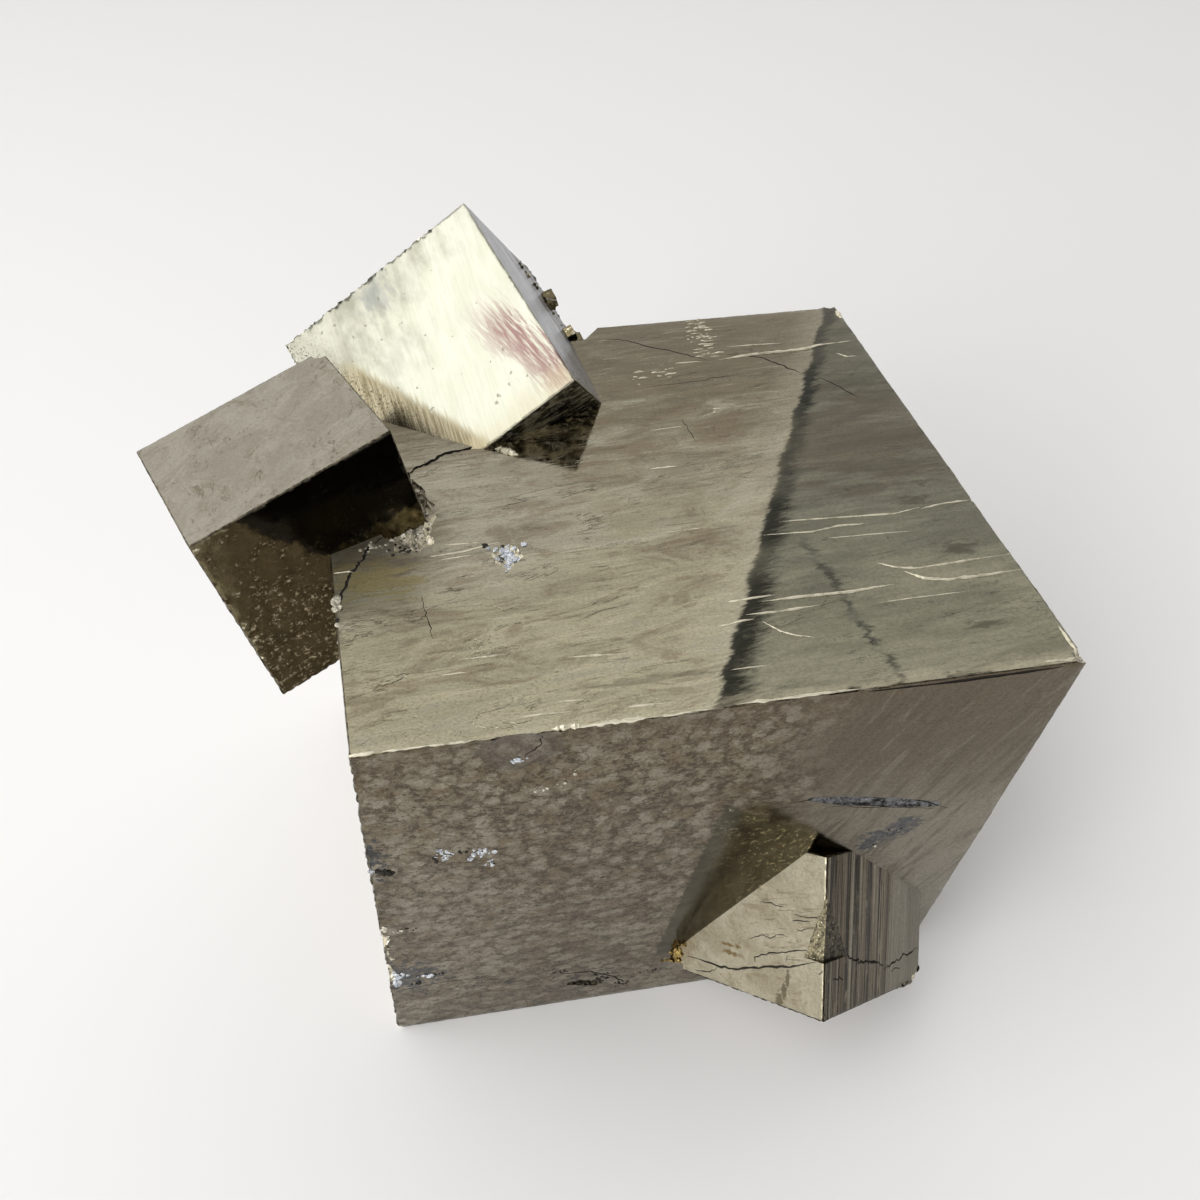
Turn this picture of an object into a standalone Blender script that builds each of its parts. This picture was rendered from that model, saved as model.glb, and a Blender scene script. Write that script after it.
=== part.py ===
"""A pyrite specimen: one large block-shaped crystal with three smaller block crystals grown into it.

Metres, +Z up. The origin is the middle of the large crystal's bottom face, which the specimen rests on.
+X runs along the large crystal's front edge, +Y from its front to its back.
All the crystals grew as one mass of the same mineral, so they are joined in one solid.
"""

import math
import random

import bmesh
import bpy
from mathutils import Matrix, Vector

MM = 0.001

# Large crystal: edge lengths, and how far its edges lean out of square
MAIN_SIZE = Vector((60.0, 55.7, 54.6)) * MM
MAIN_SKEW_DEG = (-4.2, 3.4, -2.0)

# Small crystals: the corner each is placed by, edge lengths, turn about X, Y and Z, and lean out of square
LEFT_CORNER = Vector((-33.1, -10.9, 40.2)) * MM
LEFT_SIZE = Vector((19.4, 16.2, 20.7)) * MM
LEFT_TURN_DEG = (-3.8, -11.7, 24.4)
LEFT_SKEW_DEG = (0.7, 2.4, -0.1)

UPPER_CORNER = Vector((-1.7, 8.0, 60.0)) * MM
UPPER_SIZE = Vector((24.1, 23.1, 17.0)) * MM
UPPER_TURN_DEG = (153.1, 30.5, -167.8)
UPPER_SKEW_DEG = (-2.5, -3.4, -4.7)

FRONT_CORNER = Vector((14.8, -41.5, 17.9)) * MM
FRONT_SIZE = Vector((18.3, 24.0, 16.2)) * MM
FRONT_TURN_DEG = (-34.7, 31.2, 24.5)
FRONT_SKEW_DEG = (0.1, -0.8, 0.7)
FRONT_ROOT_Y = -26.0 * MM

# Crystal edges are worn to a narrow flat
EDGE_WEAR = 0.18 * MM

# The step across the top face: its line from the back edge to the front edge, its drop and its slope
STEP_BACK = Vector((31.2, 27.5)) * MM
STEP_BEND = Vector((14.8, -7.0)) * MM
STEP_FRONT = Vector((3.6, -30.5)) * MM
STEP_DROP = 0.28 * MM
STEP_SLOPE_WIDTH = 1.2 * MM
STEP_BEND_SHARE = 0.6
STEP_TEETH = 34
STEP_TOOTH_SHARE = 0.8
STEP_TOOTH_REACH = 0.9 * MM
TOP_Z = 54.4 * MM

# How far cutters reach past the faces they open, and how far the step's cutter does in steps of its drop
PAST_FACE = 5.0
STEP_PAST = 4

# The back face steps forward beside the upper crystal: distances from the front and from the left end, and
# how much wider this is at the back, all in millimetres along the large crystal's edges
RECESS_START = 51.3
RECESS_WIDTH = 29.9
RECESS_SLANT = 3.6

# Growth terraces on the other faces: boxes that cut them back, as lowest and highest corners in distances
# along the large crystal's edges from its lowest front left corner, in millimetres
TERRACES = {
    "right_terrace": ((59.55, 21.0, 9.0), (65.0, 60.0, 37.0)),
    "right_low_terrace": ((59.7, -5.0, -5.0), (65.0, 34.0, 5.5)),
    "back_terrace": ((38.0, 55.2, -5.0), (65.0, 60.0, 22.0)),
    "left_terrace": ((-5.0, 7.0, 10.0), (0.4, 27.0, 25.0)),
    "left_low_terrace": ((-5.0, 33.0, -5.0), (0.3, 65.0, 17.0)),
}

# Broken hollows, pits, ledges and chips of the large crystal, in millimetres: centre, size, turn in degrees
# and how rough they are, as a share of their size
CHIP_ROUGHNESS = 0.22
LEDGE_ROUGHNESS = 0.12
MAIN_CHIPS = {
    "broken_hollow": ((-19.4, -2.6, 54.6), (5.2, 11.5, 3.4), (0, 0, 8), CHIP_ROUGHNESS),
    "top_pit": ((-10.6, -9.2, 54.3), (3.2, 2.6, 1.1), (0, 0, 0), CHIP_ROUGHNESS),
    "front_scallop": ((-11.9, -29.7, 52.9), (4.8, 1.1, 3.8), (0, 0, 0), CHIP_ROUGHNESS),
    "front_ledge": ((20.6, -29.1, 35.9), (17.4, 1.5, 1.5), (0, 18, 0), LEDGE_ROUGHNESS),
    "front_pit": ((22.9, -29.1, 30.0), (3.6, 1.2, 2.4), (0, 40, 0), CHIP_ROUGHNESS),
    "low_pit": ((-6.6, -28.2, 4.6), (4.2, 1.6, 2.2), (0, 20, 0), CHIP_ROUGHNESS),
    "edge_chip_high": ((-26.9, -28.6, 22.4), (1.8, 1.8, 3.4), (0, 0, 0), CHIP_ROUGHNESS),
    "edge_chip_low": ((-27.2, -28.2, 14.2), (1.9, 1.9, 5.2), (0, 0, 0), CHIP_ROUGHNESS),
    "low_corner_chip": ((-28.2, -28.1, -0.2), (1.9, 1.9, 1.5), (0, 0, 0), CHIP_ROUGHNESS),
    "back_corner_chip": ((31.3, 26.3, 54.6), (2.6, 2.2, 1.5), (0, 0, 0), CHIP_ROUGHNESS),
    "right_edge_chip": ((31.8, 18.6, 54.7), (1.3, 2.8, 1.2), (0, 0, 0), CHIP_ROUGHNESS),
    "right_corner_chip": ((35.4, -29.0, 54.6), (2.4, 1.7, 0.9), (0, 0, 0), CHIP_ROUGHNESS),
}

# The chipped corner of the left crystal: centre and size, in millimetres
LEFT_CHIP = ((-25.9, 11.9, 63.7), (3.0, 3.0, 2.0))

# The crack that runs round the foot of the left and upper crystals, on the top face
CRACK_WIDTH = 0.5 * MM
CRACK_PATH = (
    (-26.4, -14.6), (-25.2, -12.4), (-24.2, -9.2), (-23.0, -6.8), (-21.4, -4.6), (-20.0, -0.6),
    (-19.2, 3.2), (-17.1, 4.4), (-15.2, 5.8), (-11.6, 6.2), (-9.8, 5.6),
)

# The crack across the front crystal, given as distances along its edges from its lowest corner
FRONT_CRACK_WIDTH = 0.3 * MM
FRONT_CRACK_LEFT_FACE = ((19.0, 2.2), (15.2, 2.0), (11.6, 2.6), (6.4, 4.2), (1.6, 5.9))
FRONT_CRACK_RIGHT_FACE = ((2.4, 5.8), (6.0, 4.6), (9.5, 4.4), (12.4, 3.8), (18.2, 6.6))

# Growth grooves up the right face of the front crystal: distance from its front edge and width, and the
# length and middle of the bars that cut them, in millimetres
FRONT_GROOVES = (
    (2.2, 0.30), (3.4, 0.24), (4.7, 0.36), (6.1, 0.24), (7.2, 0.30), (8.6, 0.40), (9.9, 0.26), (11.2, 0.30),
    (13.3, 0.24), (15.4, 0.30),
)
GROOVE_BAR_LENGTH = 40.0
GROOVE_BAR_MIDDLE = 10.0

# Chips of the front crystal, in millimetres: place along its edges, size, turn in degrees and roughness
FRONT_CHIPS = {
    "front_edge_chip": ((1.4, 0.1, 8.6), (4.2, 2.4, 7.4), (-38, 8, 0), LEDGE_ROUGHNESS),
    "front_left_chip": ((0.0, 19.6, 0.4), (3.4, 3.4, 2.6), (0, 0, 0), CHIP_ROUGHNESS),
    "front_right_chip": ((17.4, 0.2, 0.0), (2.8, 1.8, 1.6), (0, 0, 0), CHIP_ROUGHNESS),
}

# Small crystals on the side of the upper crystal, in millimetres: place along its edges, edge length and turn
# in degrees. They are sunk a little deeper than half, and tumble about a slanting axis
SPECK_CUBES = (
    (17.9, 15.6, 1.5, 20.0),
    (17.0, 14.9, 1.1, 55.0),
    (12.2, 14.3, 1.3, 10.0),
    (11.5, 15.3, 1.5, 38.0),
    (12.9, 15.9, 0.9, 70.0),
)
SPECK_SINK = -0.2
SPECK_TUMBLE_AXIS = (1.0, 1.0, 0.4)

BODY_COLOUR = (0.46, 0.42, 0.35, 1.0)
BODY_ROUGHNESS = 0.3


def clear_scene():
    for obj in list(bpy.data.objects):
        bpy.data.objects.remove(obj, do_unlink=True)


def new_collection(name):
    collection = bpy.data.collections.new(name)
    bpy.context.scene.collection.children.link(collection)
    return collection


def to_object(name, bm, collection):
    """Makes an object of the bmesh, with all its faces pointing out."""
    bmesh.ops.recalc_face_normals(bm, faces=bm.faces)
    mesh = bpy.data.meshes.new(name)
    bm.to_mesh(mesh)
    bm.free()
    obj = bpy.data.objects.new(name, mesh)
    collection.objects.link(obj)
    return obj


def as_helper(obj):
    obj.hide_render = True
    obj.display_type = "WIRE"
    return obj


def edge_directions(skew_deg):
    """The three edge directions of a block that leans out of square by these angles."""
    plan, lean_x, lean_y = (math.tan(math.radians(angle)) for angle in skew_deg)
    return Vector((1, 0, 0)), Vector((plan, 1, 0)).normalized(), Vector((lean_x, lean_y, 1)).normalized()


def from_edges(skew_deg):
    """The matrix that takes distances along the block's edges to its own X, Y and Z."""
    return Matrix(edge_directions(skew_deg)).transposed().to_4x4()


def block(name, size, skew_deg, collection):
    """A block crystal with a corner at its own origin, its edges slightly out of square and slightly worn."""
    bm = bmesh.new()
    bmesh.ops.create_cube(bm, size=1.0)
    bmesh.ops.translate(bm, vec=(0.5, 0.5, 0.5), verts=bm.verts)
    bmesh.ops.scale(bm, vec=size, verts=bm.verts)
    bmesh.ops.transform(bm, matrix=from_edges(skew_deg), verts=bm.verts)
    bmesh.ops.bevel(bm, geom=bm.edges[:], offset=EDGE_WEAR, segments=1, affect="EDGES")
    return to_object(name, bm, collection)


def place(obj, corner, turn_deg):
    obj.location = corner
    obj.rotation_euler = [math.radians(angle) for angle in turn_deg]
    return obj


def boolean(obj, other, operation):
    modifier = obj.modifiers.new(f"{operation.lower()}_{other.name}", "BOOLEAN")
    modifier.operation = operation
    modifier.object = other


def rough_lump(name, centre, size, seed, collection, turn_deg=(0, 0, 0), roughness=CHIP_ROUGHNESS):
    """A faceted pebble shape, for broken hollows and chips: an icosphere whose points are moved at random."""
    rng = random.Random(seed)
    bm = bmesh.new()
    bmesh.ops.create_icosphere(bm, subdivisions=2, radius=0.5)
    for vert in bm.verts:
        vert.co *= 1.0 + rng.uniform(-roughness, roughness)
    bmesh.ops.scale(bm, vec=Vector(size) * MM, verts=bm.verts)
    obj = as_helper(to_object(name, bm, collection))
    return place(obj, Vector(centre) * MM, turn_deg)


def groove(name, points, width, collection):
    """A thin round bar along the points, to cut a crack with. It is a curve that is then made a mesh."""
    curve = bpy.data.curves.new(name, "CURVE")
    curve.dimensions = "3D"
    curve.bevel_depth = width / 2
    curve.bevel_resolution = 0
    curve.use_fill_caps = True
    spline = curve.splines.new("POLY")
    spline.points.add(len(points) - 1)
    for target, point in zip(spline.points, points):
        target.co = (*point, 1.0)
    source = bpy.data.objects.new(name, curve)
    collection.objects.link(source)
    bpy.context.view_layer.update()
    evaluated = source.evaluated_get(bpy.context.evaluated_depsgraph_get())
    bm = bmesh.new()
    bm.from_mesh(bpy.data.meshes.new_from_object(evaluated))
    bpy.data.objects.remove(source, do_unlink=True)
    bmesh.ops.remove_doubles(bm, verts=bm.verts, dist=0.00001)
    return as_helper(to_object(name, bm, collection))


def step_line(share):
    """A point on the top step's line, from 0 at the back to 1 at the front: one gentle bend."""
    if share < STEP_BEND_SHARE:
        return STEP_BACK.lerp(STEP_BEND, share / STEP_BEND_SHARE)
    return STEP_BEND.lerp(STEP_FRONT, (share - STEP_BEND_SHARE) / (1 - STEP_BEND_SHARE))


def top_step_cutter(collection):
    """The slab that lowers the top face left of its step, with teeth along the growth lines on its edge."""
    rng = random.Random(4)
    edge = []
    for tooth in range(STEP_TEETH):
        reach = rng.uniform(0.0, STEP_TOOTH_REACH)
        for share in (tooth / STEP_TEETH, (tooth + STEP_TOOTH_SHARE) / STEP_TEETH):
            point = step_line(share)
            edge.append((point.x - reach, point.y))
    far_left = MAIN_SIZE.x
    outline = edge + [(-far_left, edge[-1][1]), (-far_left, edge[0][1])]
    bm = bmesh.new()
    face = bm.faces.new([bm.verts.new((x, y, TOP_Z - STEP_DROP)) for x, y in outline])
    raised = bmesh.ops.extrude_face_region(bm, geom=[face])["geom"]
    for vert in (item for item in raised if isinstance(item, bmesh.types.BMVert)):
        vert.co.z += STEP_PAST * STEP_DROP
        vert.co.x += STEP_PAST * STEP_SLOPE_WIDTH
    return as_helper(to_object("top_step_cutter", bm, collection))


def box_cutter(name, low, high, frame, collection, slant=0.0):
    """A box from low to high, in millimetres along the edges that the frame matrix describes.
    With a slant, its far end along X leans that much further out at the back than at the front."""
    bm = bmesh.new()
    bmesh.ops.create_cube(bm, size=1.0)
    low, high = Vector(low) * MM, Vector(high) * MM
    bmesh.ops.scale(bm, vec=high - low, verts=bm.verts)
    middle = (low + high) / 2
    bmesh.ops.translate(bm, vec=middle, verts=bm.verts)
    for vert in bm.verts:
        if vert.co.x > middle.x and vert.co.y > middle.y:
            vert.co.x += slant
    bmesh.ops.transform(bm, matrix=frame, verts=bm.verts)
    return as_helper(to_object(name, bm, collection))


def cut_main(main, cutters):
    """Cuts the large crystal's terraces, step, recess, pits and chips."""
    frame = Matrix.Translation(main.location) @ from_edges(MAIN_SKEW_DEG)
    shapes = [box_cutter(name, low, high, frame, cutters) for name, (low, high) in TERRACES.items()]
    shapes.append(top_step_cutter(cutters))
    depth, height = MAIN_SIZE.y / MM, MAIN_SIZE.z / MM
    recess_low = (-PAST_FACE, RECESS_START, -PAST_FACE)
    recess_high = (RECESS_WIDTH, depth + PAST_FACE, height + PAST_FACE)
    slant = RECESS_SLANT * (depth + PAST_FACE - RECESS_START) / (depth - RECESS_START) * MM
    shapes.append(box_cutter("back_recess", recess_low, recess_high, frame, cutters, slant))
    for seed, (name, (centre, size, turn_deg, roughness)) in enumerate(MAIN_CHIPS.items(), start=11):
        shapes.append(rough_lump(name, centre, size, seed, cutters, turn_deg, roughness))
    for shape in shapes:
        boolean(main, shape, "DIFFERENCE")


def large_crystal(parts, cutters):
    main = block("pyrite_cluster", MAIN_SIZE, MAIN_SKEW_DEG, parts)
    along, across, _ = edge_directions(MAIN_SKEW_DEG)
    main.location = -(along * MAIN_SIZE.x + across * MAIN_SIZE.y) / 2
    cut_main(main, cutters)
    return main


def left_crystal(cutters):
    crystal = place(block("left_crystal", LEFT_SIZE, LEFT_SKEW_DEG, cutters), LEFT_CORNER, LEFT_TURN_DEG)
    boolean(crystal, rough_lump("left_crystal_chip", *LEFT_CHIP, 31, cutters), "DIFFERENCE")
    return as_helper(crystal)


def upper_crystal(cutters):
    crystal = place(block("upper_crystal", UPPER_SIZE, UPPER_SKEW_DEG, cutters), UPPER_CORNER, UPPER_TURN_DEG)
    return as_helper(crystal)


def speck_cubes(crystal, cutters):
    """Tiny crystals that stand on the side of the upper crystal, sunk in it."""
    to_own = from_edges(UPPER_SKEW_DEG)
    cubes = []
    for number, (along, down, size, turn) in enumerate(SPECK_CUBES):
        bm = bmesh.new()
        bmesh.ops.create_cube(bm, size=size * MM)
        tumble = Matrix.Rotation(math.radians(turn), 3, SPECK_TUMBLE_AXIS)
        bmesh.ops.rotate(bm, cent=(0, 0, 0), matrix=tumble, verts=bm.verts)
        cube = as_helper(to_object(f"speck_cube_{number + 1}", bm, cutters))
        cube.parent = crystal
        cube.location = to_own @ (Vector((SPECK_SINK, along, down)) * MM)
        cubes.append(cube)
    return cubes


def growth_grooves(to_world, cutters):
    """The bars that cut V-shaped grooves up the right face of the front crystal, in one helper object."""
    bm = bmesh.new()
    for along, width in FRONT_GROOVES:
        bar = bmesh.ops.create_cube(bm, size=1.0)["verts"]
        bmesh.ops.scale(bm, vec=Vector((width, width, GROOVE_BAR_LENGTH)) * MM, verts=bar)
        bmesh.ops.rotate(bm, cent=(0, 0, 0), matrix=Matrix.Rotation(math.radians(45), 3, "Z"), verts=bar)
        bmesh.ops.translate(bm, vec=Vector((along, 0.0, GROOVE_BAR_MIDDLE)) * MM, verts=bar)
    bmesh.ops.transform(bm, matrix=to_world, verts=bm.verts)
    return as_helper(to_object("front_grooves", bm, cutters))


def root_cutter(crystal, cutters):
    """The box behind the front crystal's root, well larger than the crystal itself."""
    reach = 3 * FRONT_SIZE.length / MM
    middle = Vector((crystal.location.x, FRONT_ROOT_Y, crystal.location.z)) / MM
    low = middle - Vector((reach, 0.0, reach))
    high = middle + Vector((reach, reach, reach))
    return box_cutter("front_root_cutter", low, high, Matrix.Identity(4), cutters)


def front_crystal(cutters):
    """The crystal low on the front face. Its root ends just inside the large crystal."""
    crystal = place(block("front_crystal", FRONT_SIZE, FRONT_SKEW_DEG, cutters), FRONT_CORNER, FRONT_TURN_DEG)
    turned = Matrix.LocRotScale(crystal.location, crystal.rotation_euler, None)
    to_world = turned @ from_edges(FRONT_SKEW_DEG)
    shapes = [root_cutter(crystal, cutters), growth_grooves(to_world, cutters)]
    for seed, (name, (spot, size, turn_deg, roughness)) in enumerate(FRONT_CHIPS.items(), start=41):
        centre = to_world @ (Vector(spot) * MM) / MM
        shapes.append(rough_lump(name, centre, size, seed, cutters, turn_deg, roughness))
    on_left = [to_world @ (Vector((0.0, back, up)) * MM) for back, up in FRONT_CRACK_LEFT_FACE]
    on_right = [to_world @ (Vector((along, 0.0, up)) * MM) for along, up in FRONT_CRACK_RIGHT_FACE]
    shapes.append(groove("front_crack_left", on_left, FRONT_CRACK_WIDTH, cutters))
    shapes.append(groove("front_crack_right", on_right, FRONT_CRACK_WIDTH, cutters))
    for shape in shapes:
        boolean(crystal, shape, "DIFFERENCE")
    return as_helper(crystal)


def pyrite_material():
    material = bpy.data.materials.new("pyrite")
    material.use_nodes = True
    shader = material.node_tree.nodes["Principled BSDF"]
    shader.inputs["Base Color"].default_value = BODY_COLOUR
    shader.inputs["Metallic"].default_value = 1.0
    shader.inputs["Roughness"].default_value = BODY_ROUGHNESS
    return material


def main():
    clear_scene()
    parts = new_collection("pyrite_specimen")
    cutters = new_collection("cutters")
    cluster = large_crystal(parts, cutters)
    left = left_crystal(cutters)
    upper = upper_crystal(cutters)
    front = front_crystal(cutters)
    for crystal in [left, upper, front] + speck_cubes(upper, cutters):
        boolean(cluster, crystal, "UNION")
    crack_points = [Vector((x * MM, y * MM, TOP_Z - STEP_DROP)) for x, y in CRACK_PATH]
    boolean(cluster, groove("foot_crack", crack_points, CRACK_WIDTH, cutters), "DIFFERENCE")
    cluster.data.materials.append(pyrite_material())


main()
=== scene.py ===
# %% [markdown]
# # A pyrite specimen
#
# Pyrite is iron sulphide. It grows as heavy metallic blocks with flat, finely ruled faces. This
# specimen is one large block with three smaller ones grown into it at other angles. The lesson models
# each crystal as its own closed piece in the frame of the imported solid, gives its faces their growth
# lines, chips and cracks, and then mixes one finish for each kind of face.

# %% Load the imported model
import math
import random
import bpy
from mathutils import Euler, Matrix, Vector, noise


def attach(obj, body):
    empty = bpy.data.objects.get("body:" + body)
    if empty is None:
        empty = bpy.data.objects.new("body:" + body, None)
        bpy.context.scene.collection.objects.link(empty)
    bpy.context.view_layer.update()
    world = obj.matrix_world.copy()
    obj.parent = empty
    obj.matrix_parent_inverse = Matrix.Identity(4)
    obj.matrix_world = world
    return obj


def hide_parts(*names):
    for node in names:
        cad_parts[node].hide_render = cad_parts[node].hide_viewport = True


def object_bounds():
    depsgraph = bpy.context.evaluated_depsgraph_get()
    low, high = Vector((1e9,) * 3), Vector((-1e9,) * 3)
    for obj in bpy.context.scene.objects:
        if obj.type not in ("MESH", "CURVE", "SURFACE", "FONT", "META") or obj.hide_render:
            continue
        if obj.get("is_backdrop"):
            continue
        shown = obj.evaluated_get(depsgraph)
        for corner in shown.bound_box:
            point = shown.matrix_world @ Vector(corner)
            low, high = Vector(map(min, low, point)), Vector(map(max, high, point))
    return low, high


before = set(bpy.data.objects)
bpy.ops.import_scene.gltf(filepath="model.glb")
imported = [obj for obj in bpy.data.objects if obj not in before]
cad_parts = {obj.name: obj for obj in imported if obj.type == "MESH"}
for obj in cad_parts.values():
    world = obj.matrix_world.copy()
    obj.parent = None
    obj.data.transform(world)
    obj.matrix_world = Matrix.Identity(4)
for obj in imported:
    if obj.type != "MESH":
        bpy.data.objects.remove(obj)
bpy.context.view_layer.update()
print("packed nodes:", sorted(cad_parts))

# %% [markdown]
# ## Driving sizes
#
# The solid's own sizes are repeated here, so that each dressed crystal lies exactly where its solid
# does. A crystal is a block that leans a little out of square. It is placed by one corner and turned
# about X, Y and Z. Everything is in millimetres in these tables, and MM turns it into metres.

# %% Sizes and places of the four crystals
MM = 0.001
NODE = "pyrite_cluster"
BODY = "root"
# The corner and the size are in millimetres, turn and lean in degrees, and cells are counts along each edge.
CRYSTALS = {
    "main_crystal": {
        "corner": (-27.94, -27.79, 0.0), "turn": (0.0, 0.0, 0.0), "lean": (-4.2, 3.4, -2.0),
        "size": (60.0, 55.7, 54.6), "cells": (150, 118, 112),
    },
    "left_crystal": {
        "corner": (-33.1, -10.9, 40.2), "turn": (-3.8, -11.7, 24.4), "lean": (0.7, 2.4, -0.1),
        "size": (19.4, 16.2, 20.7), "cells": (62, 52, 66),
    },
    "upper_crystal": {
        "corner": (-1.7, 8.0, 60.0), "turn": (153.1, 30.5, -167.8), "lean": (-2.5, -3.4, -4.7),
        "size": (24.1, 23.1, 17.0), "cells": (80, 76, 54),
    },
    "front_crystal": {
        "corner": (14.8, -41.5, 17.9), "turn": (-34.7, 31.2, 24.5), "lean": (0.1, -0.8, 0.7),
        "size": (18.3, 24.0, 16.2), "cells": (64, 80, 56),
    },
}
EDGE_WEAR = 0.14
TOP_Z = 54.4
STEP_DROP = 0.28

# %% [markdown]
# ## Small helpers
#
# Operators act on whatever is selected, so each helper first clears the selection and then picks
# points, edges or faces by their place. A crystal's frame is a matrix from millimetres along its own
# edges to the model.

# %% Select and edit by place
def leave_all():
    if bpy.context.object and bpy.context.object.mode != "OBJECT":
        bpy.ops.object.mode_set(mode="OBJECT")
    bpy.ops.object.select_all(action="DESELECT")


def take(piece):
    leave_all()
    piece.select_set(True)
    bpy.context.view_layer.objects.active = piece


def edit_picked(piece, kind, test, operator, **options):
    """Runs an edit-mode operator on the points, edges or faces of the piece that pass the test."""
    take(piece)
    mesh = piece.data
    for items in (mesh.polygons, mesh.edges, mesh.vertices):
        items.foreach_set("select", [False] * len(items))
    items = {"VERT": mesh.vertices, "EDGE": mesh.edges, "FACE": mesh.polygons}[kind]
    items.foreach_set("select", [bool(test(item)) for item in items])
    bpy.ops.object.mode_set(mode="EDIT")
    bpy.ops.mesh.select_mode(type=kind)
    operator(**options)
    bpy.ops.object.mode_set(mode="OBJECT")


def edit_all(piece, kind, operator, **options):
    edit_picked(piece, kind, lambda item: True, operator, **options)


def settle(piece):
    """Applies the piece's place, so that its object is at the origin, unturned and unscaled."""
    take(piece)
    bpy.ops.object.transform_apply(location=True, rotation=True, scale=True)
    return piece


def displace(piece, kind, cell_size, depth, **settings):
    """Moves the points along their normals by a noise texture, which is removed again."""
    take(piece)
    texture = bpy.data.textures.new(piece.name, kind)
    texture.noise_scale = cell_size
    modifier = piece.modifiers.new("displace", "DISPLACE")
    modifier.texture = texture
    modifier.strength = depth * MM
    for key, value in settings.items():
        setattr(modifier, key, value)
    bpy.ops.object.modifier_apply(modifier=modifier.name)
    bpy.data.textures.remove(texture)


def turn_of(name):
    return Euler([math.radians(angle) for angle in CRYSTALS[name]["turn"]])


def lean_directions(lean):
    plan, lean_x, lean_y = (math.tan(math.radians(angle)) for angle in lean)
    return Vector((1, 0, 0)), Vector((plan, 1, 0)).normalized(), Vector((lean_x, lean_y, 1)).normalized()


def own_frame(name):
    """The matrix from millimetres along the crystal's edges to the model's metres."""
    crystal = CRYSTALS[name]
    placed = Matrix.LocRotScale(Vector(crystal["corner"]) * MM, turn_of(name), None)
    return placed @ Matrix(lean_directions(crystal["lean"])).transposed().to_4x4() @ Matrix.Scale(MM, 4)


# %% [markdown]
# ## Block crystals
#
# A natural block starts as a cube primitive at its real size. Its back face and then its top face are
# moved sideways, which leans it out of square as the real one grew. The edges get a narrow worn bevel,
# and rings of cuts along each direction give a fine grid that can take relief. Each of its six sides is
# remembered as a vertex group and as a material number, so that a side can be carved and finished
# alone.

# %% Make one block crystal
SIDES = {
    "left": Vector((-1, 0, 0)), "right": Vector((1, 0, 0)), "front": Vector((0, -1, 0)),
    "back": Vector((0, 1, 0)), "bottom": Vector((0, 0, -1)), "top": Vector((0, 0, 1)),
}
SIDE_MATCH = 0.93
EDGE_MATCH = 0.95
FAR_SHARE = 0.9


def block_crystal(name):
    crystal = CRYSTALS[name]
    size = Vector(crystal["size"]) * MM
    leave_all()
    bpy.ops.mesh.primitive_cube_add(size=1.0, location=size / 2, scale=size)
    piece = bpy.context.object
    piece.name = name
    settle(piece)
    leans = lean_directions(crystal["lean"])
    for axis in (1, 2):
        shift = leans[axis] * size[axis]
        shift[axis] -= size[axis]
        far = size[axis] * FAR_SHARE
        edit_picked(piece, "VERT", lambda v: v.co[axis] > far, bpy.ops.transform.translate, value=shift)
    edit_all(piece, "EDGE", bpy.ops.mesh.bevel, offset=EDGE_WEAR * MM, segments=2, affect="EDGES")
    for axis, cuts in enumerate(crystal["cells"]):
        def runs_along(edge):
            a, b = (piece.data.vertices[i].co for i in edge.vertices)
            return abs((b - a).normalized()[axis]) > EDGE_MATCH and (b - a).length > size[axis] / 2
        edit_picked(piece, "EDGE", runs_along, bpy.ops.mesh.subdivide, number_cuts=cuts - 1)
    name_sides(piece)
    piece.location = Vector(crystal["corner"]) * MM
    piece.rotation_euler = turn_of(name)
    settle(piece)
    print(name, "has", len(piece.data.polygons), "faces")
    return piece


def name_sides(piece):
    """One vertex group and one material number for each side. Bevels and corners keep the last number."""
    members = {side: set() for side in SIDES}
    for face in piece.data.polygons:
        face.material_index = len(SIDES)
        for number, (side, normal) in enumerate(SIDES.items()):
            if face.normal.dot(normal) > SIDE_MATCH:
                face.material_index = number
                members[side].update(face.vertices)
    for side, points in members.items():
        piece.vertex_groups.new(name=side).add(list(points), 1.0, "REPLACE")


# %% Model the four blocks
pieces = {name: block_crystal(name) for name in CRYSTALS}

# %% [markdown]
# ## Growth terraces
#
# Low steps cross the sides where a new layer stopped growing. A step is made by moving a rectangle of a
# side's points inwards by a few tenths of a millimetre. A small random shake of the points at the
# block's edges makes the edges ragged, as worn crystal edges are.

# %% Sink terraces and shake edges
# Crystal, axis of the side, two corners of the rectangle along the crystal's edges, and how far it moves.
TERRACES = (
    ("main_crystal", 0, (59.9, 21.0, 9.0), (61.0, 61.0, 37.0), -0.45),
    ("main_crystal", 0, (59.4, -1.0, -1.0), (61.0, 34.0, 5.5), -0.30),
    ("main_crystal", 1, (38.0, 55.6, -1.0), (61.0, 56.5, 22.0), -0.50),
    ("main_crystal", 0, (-1.0, 7.0, 10.0), (0.1, 27.0, 25.0), 0.40),
    ("main_crystal", 0, (-1.0, 33.0, -1.0), (0.5, 57.0, 17.0), 0.30),
)
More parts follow.
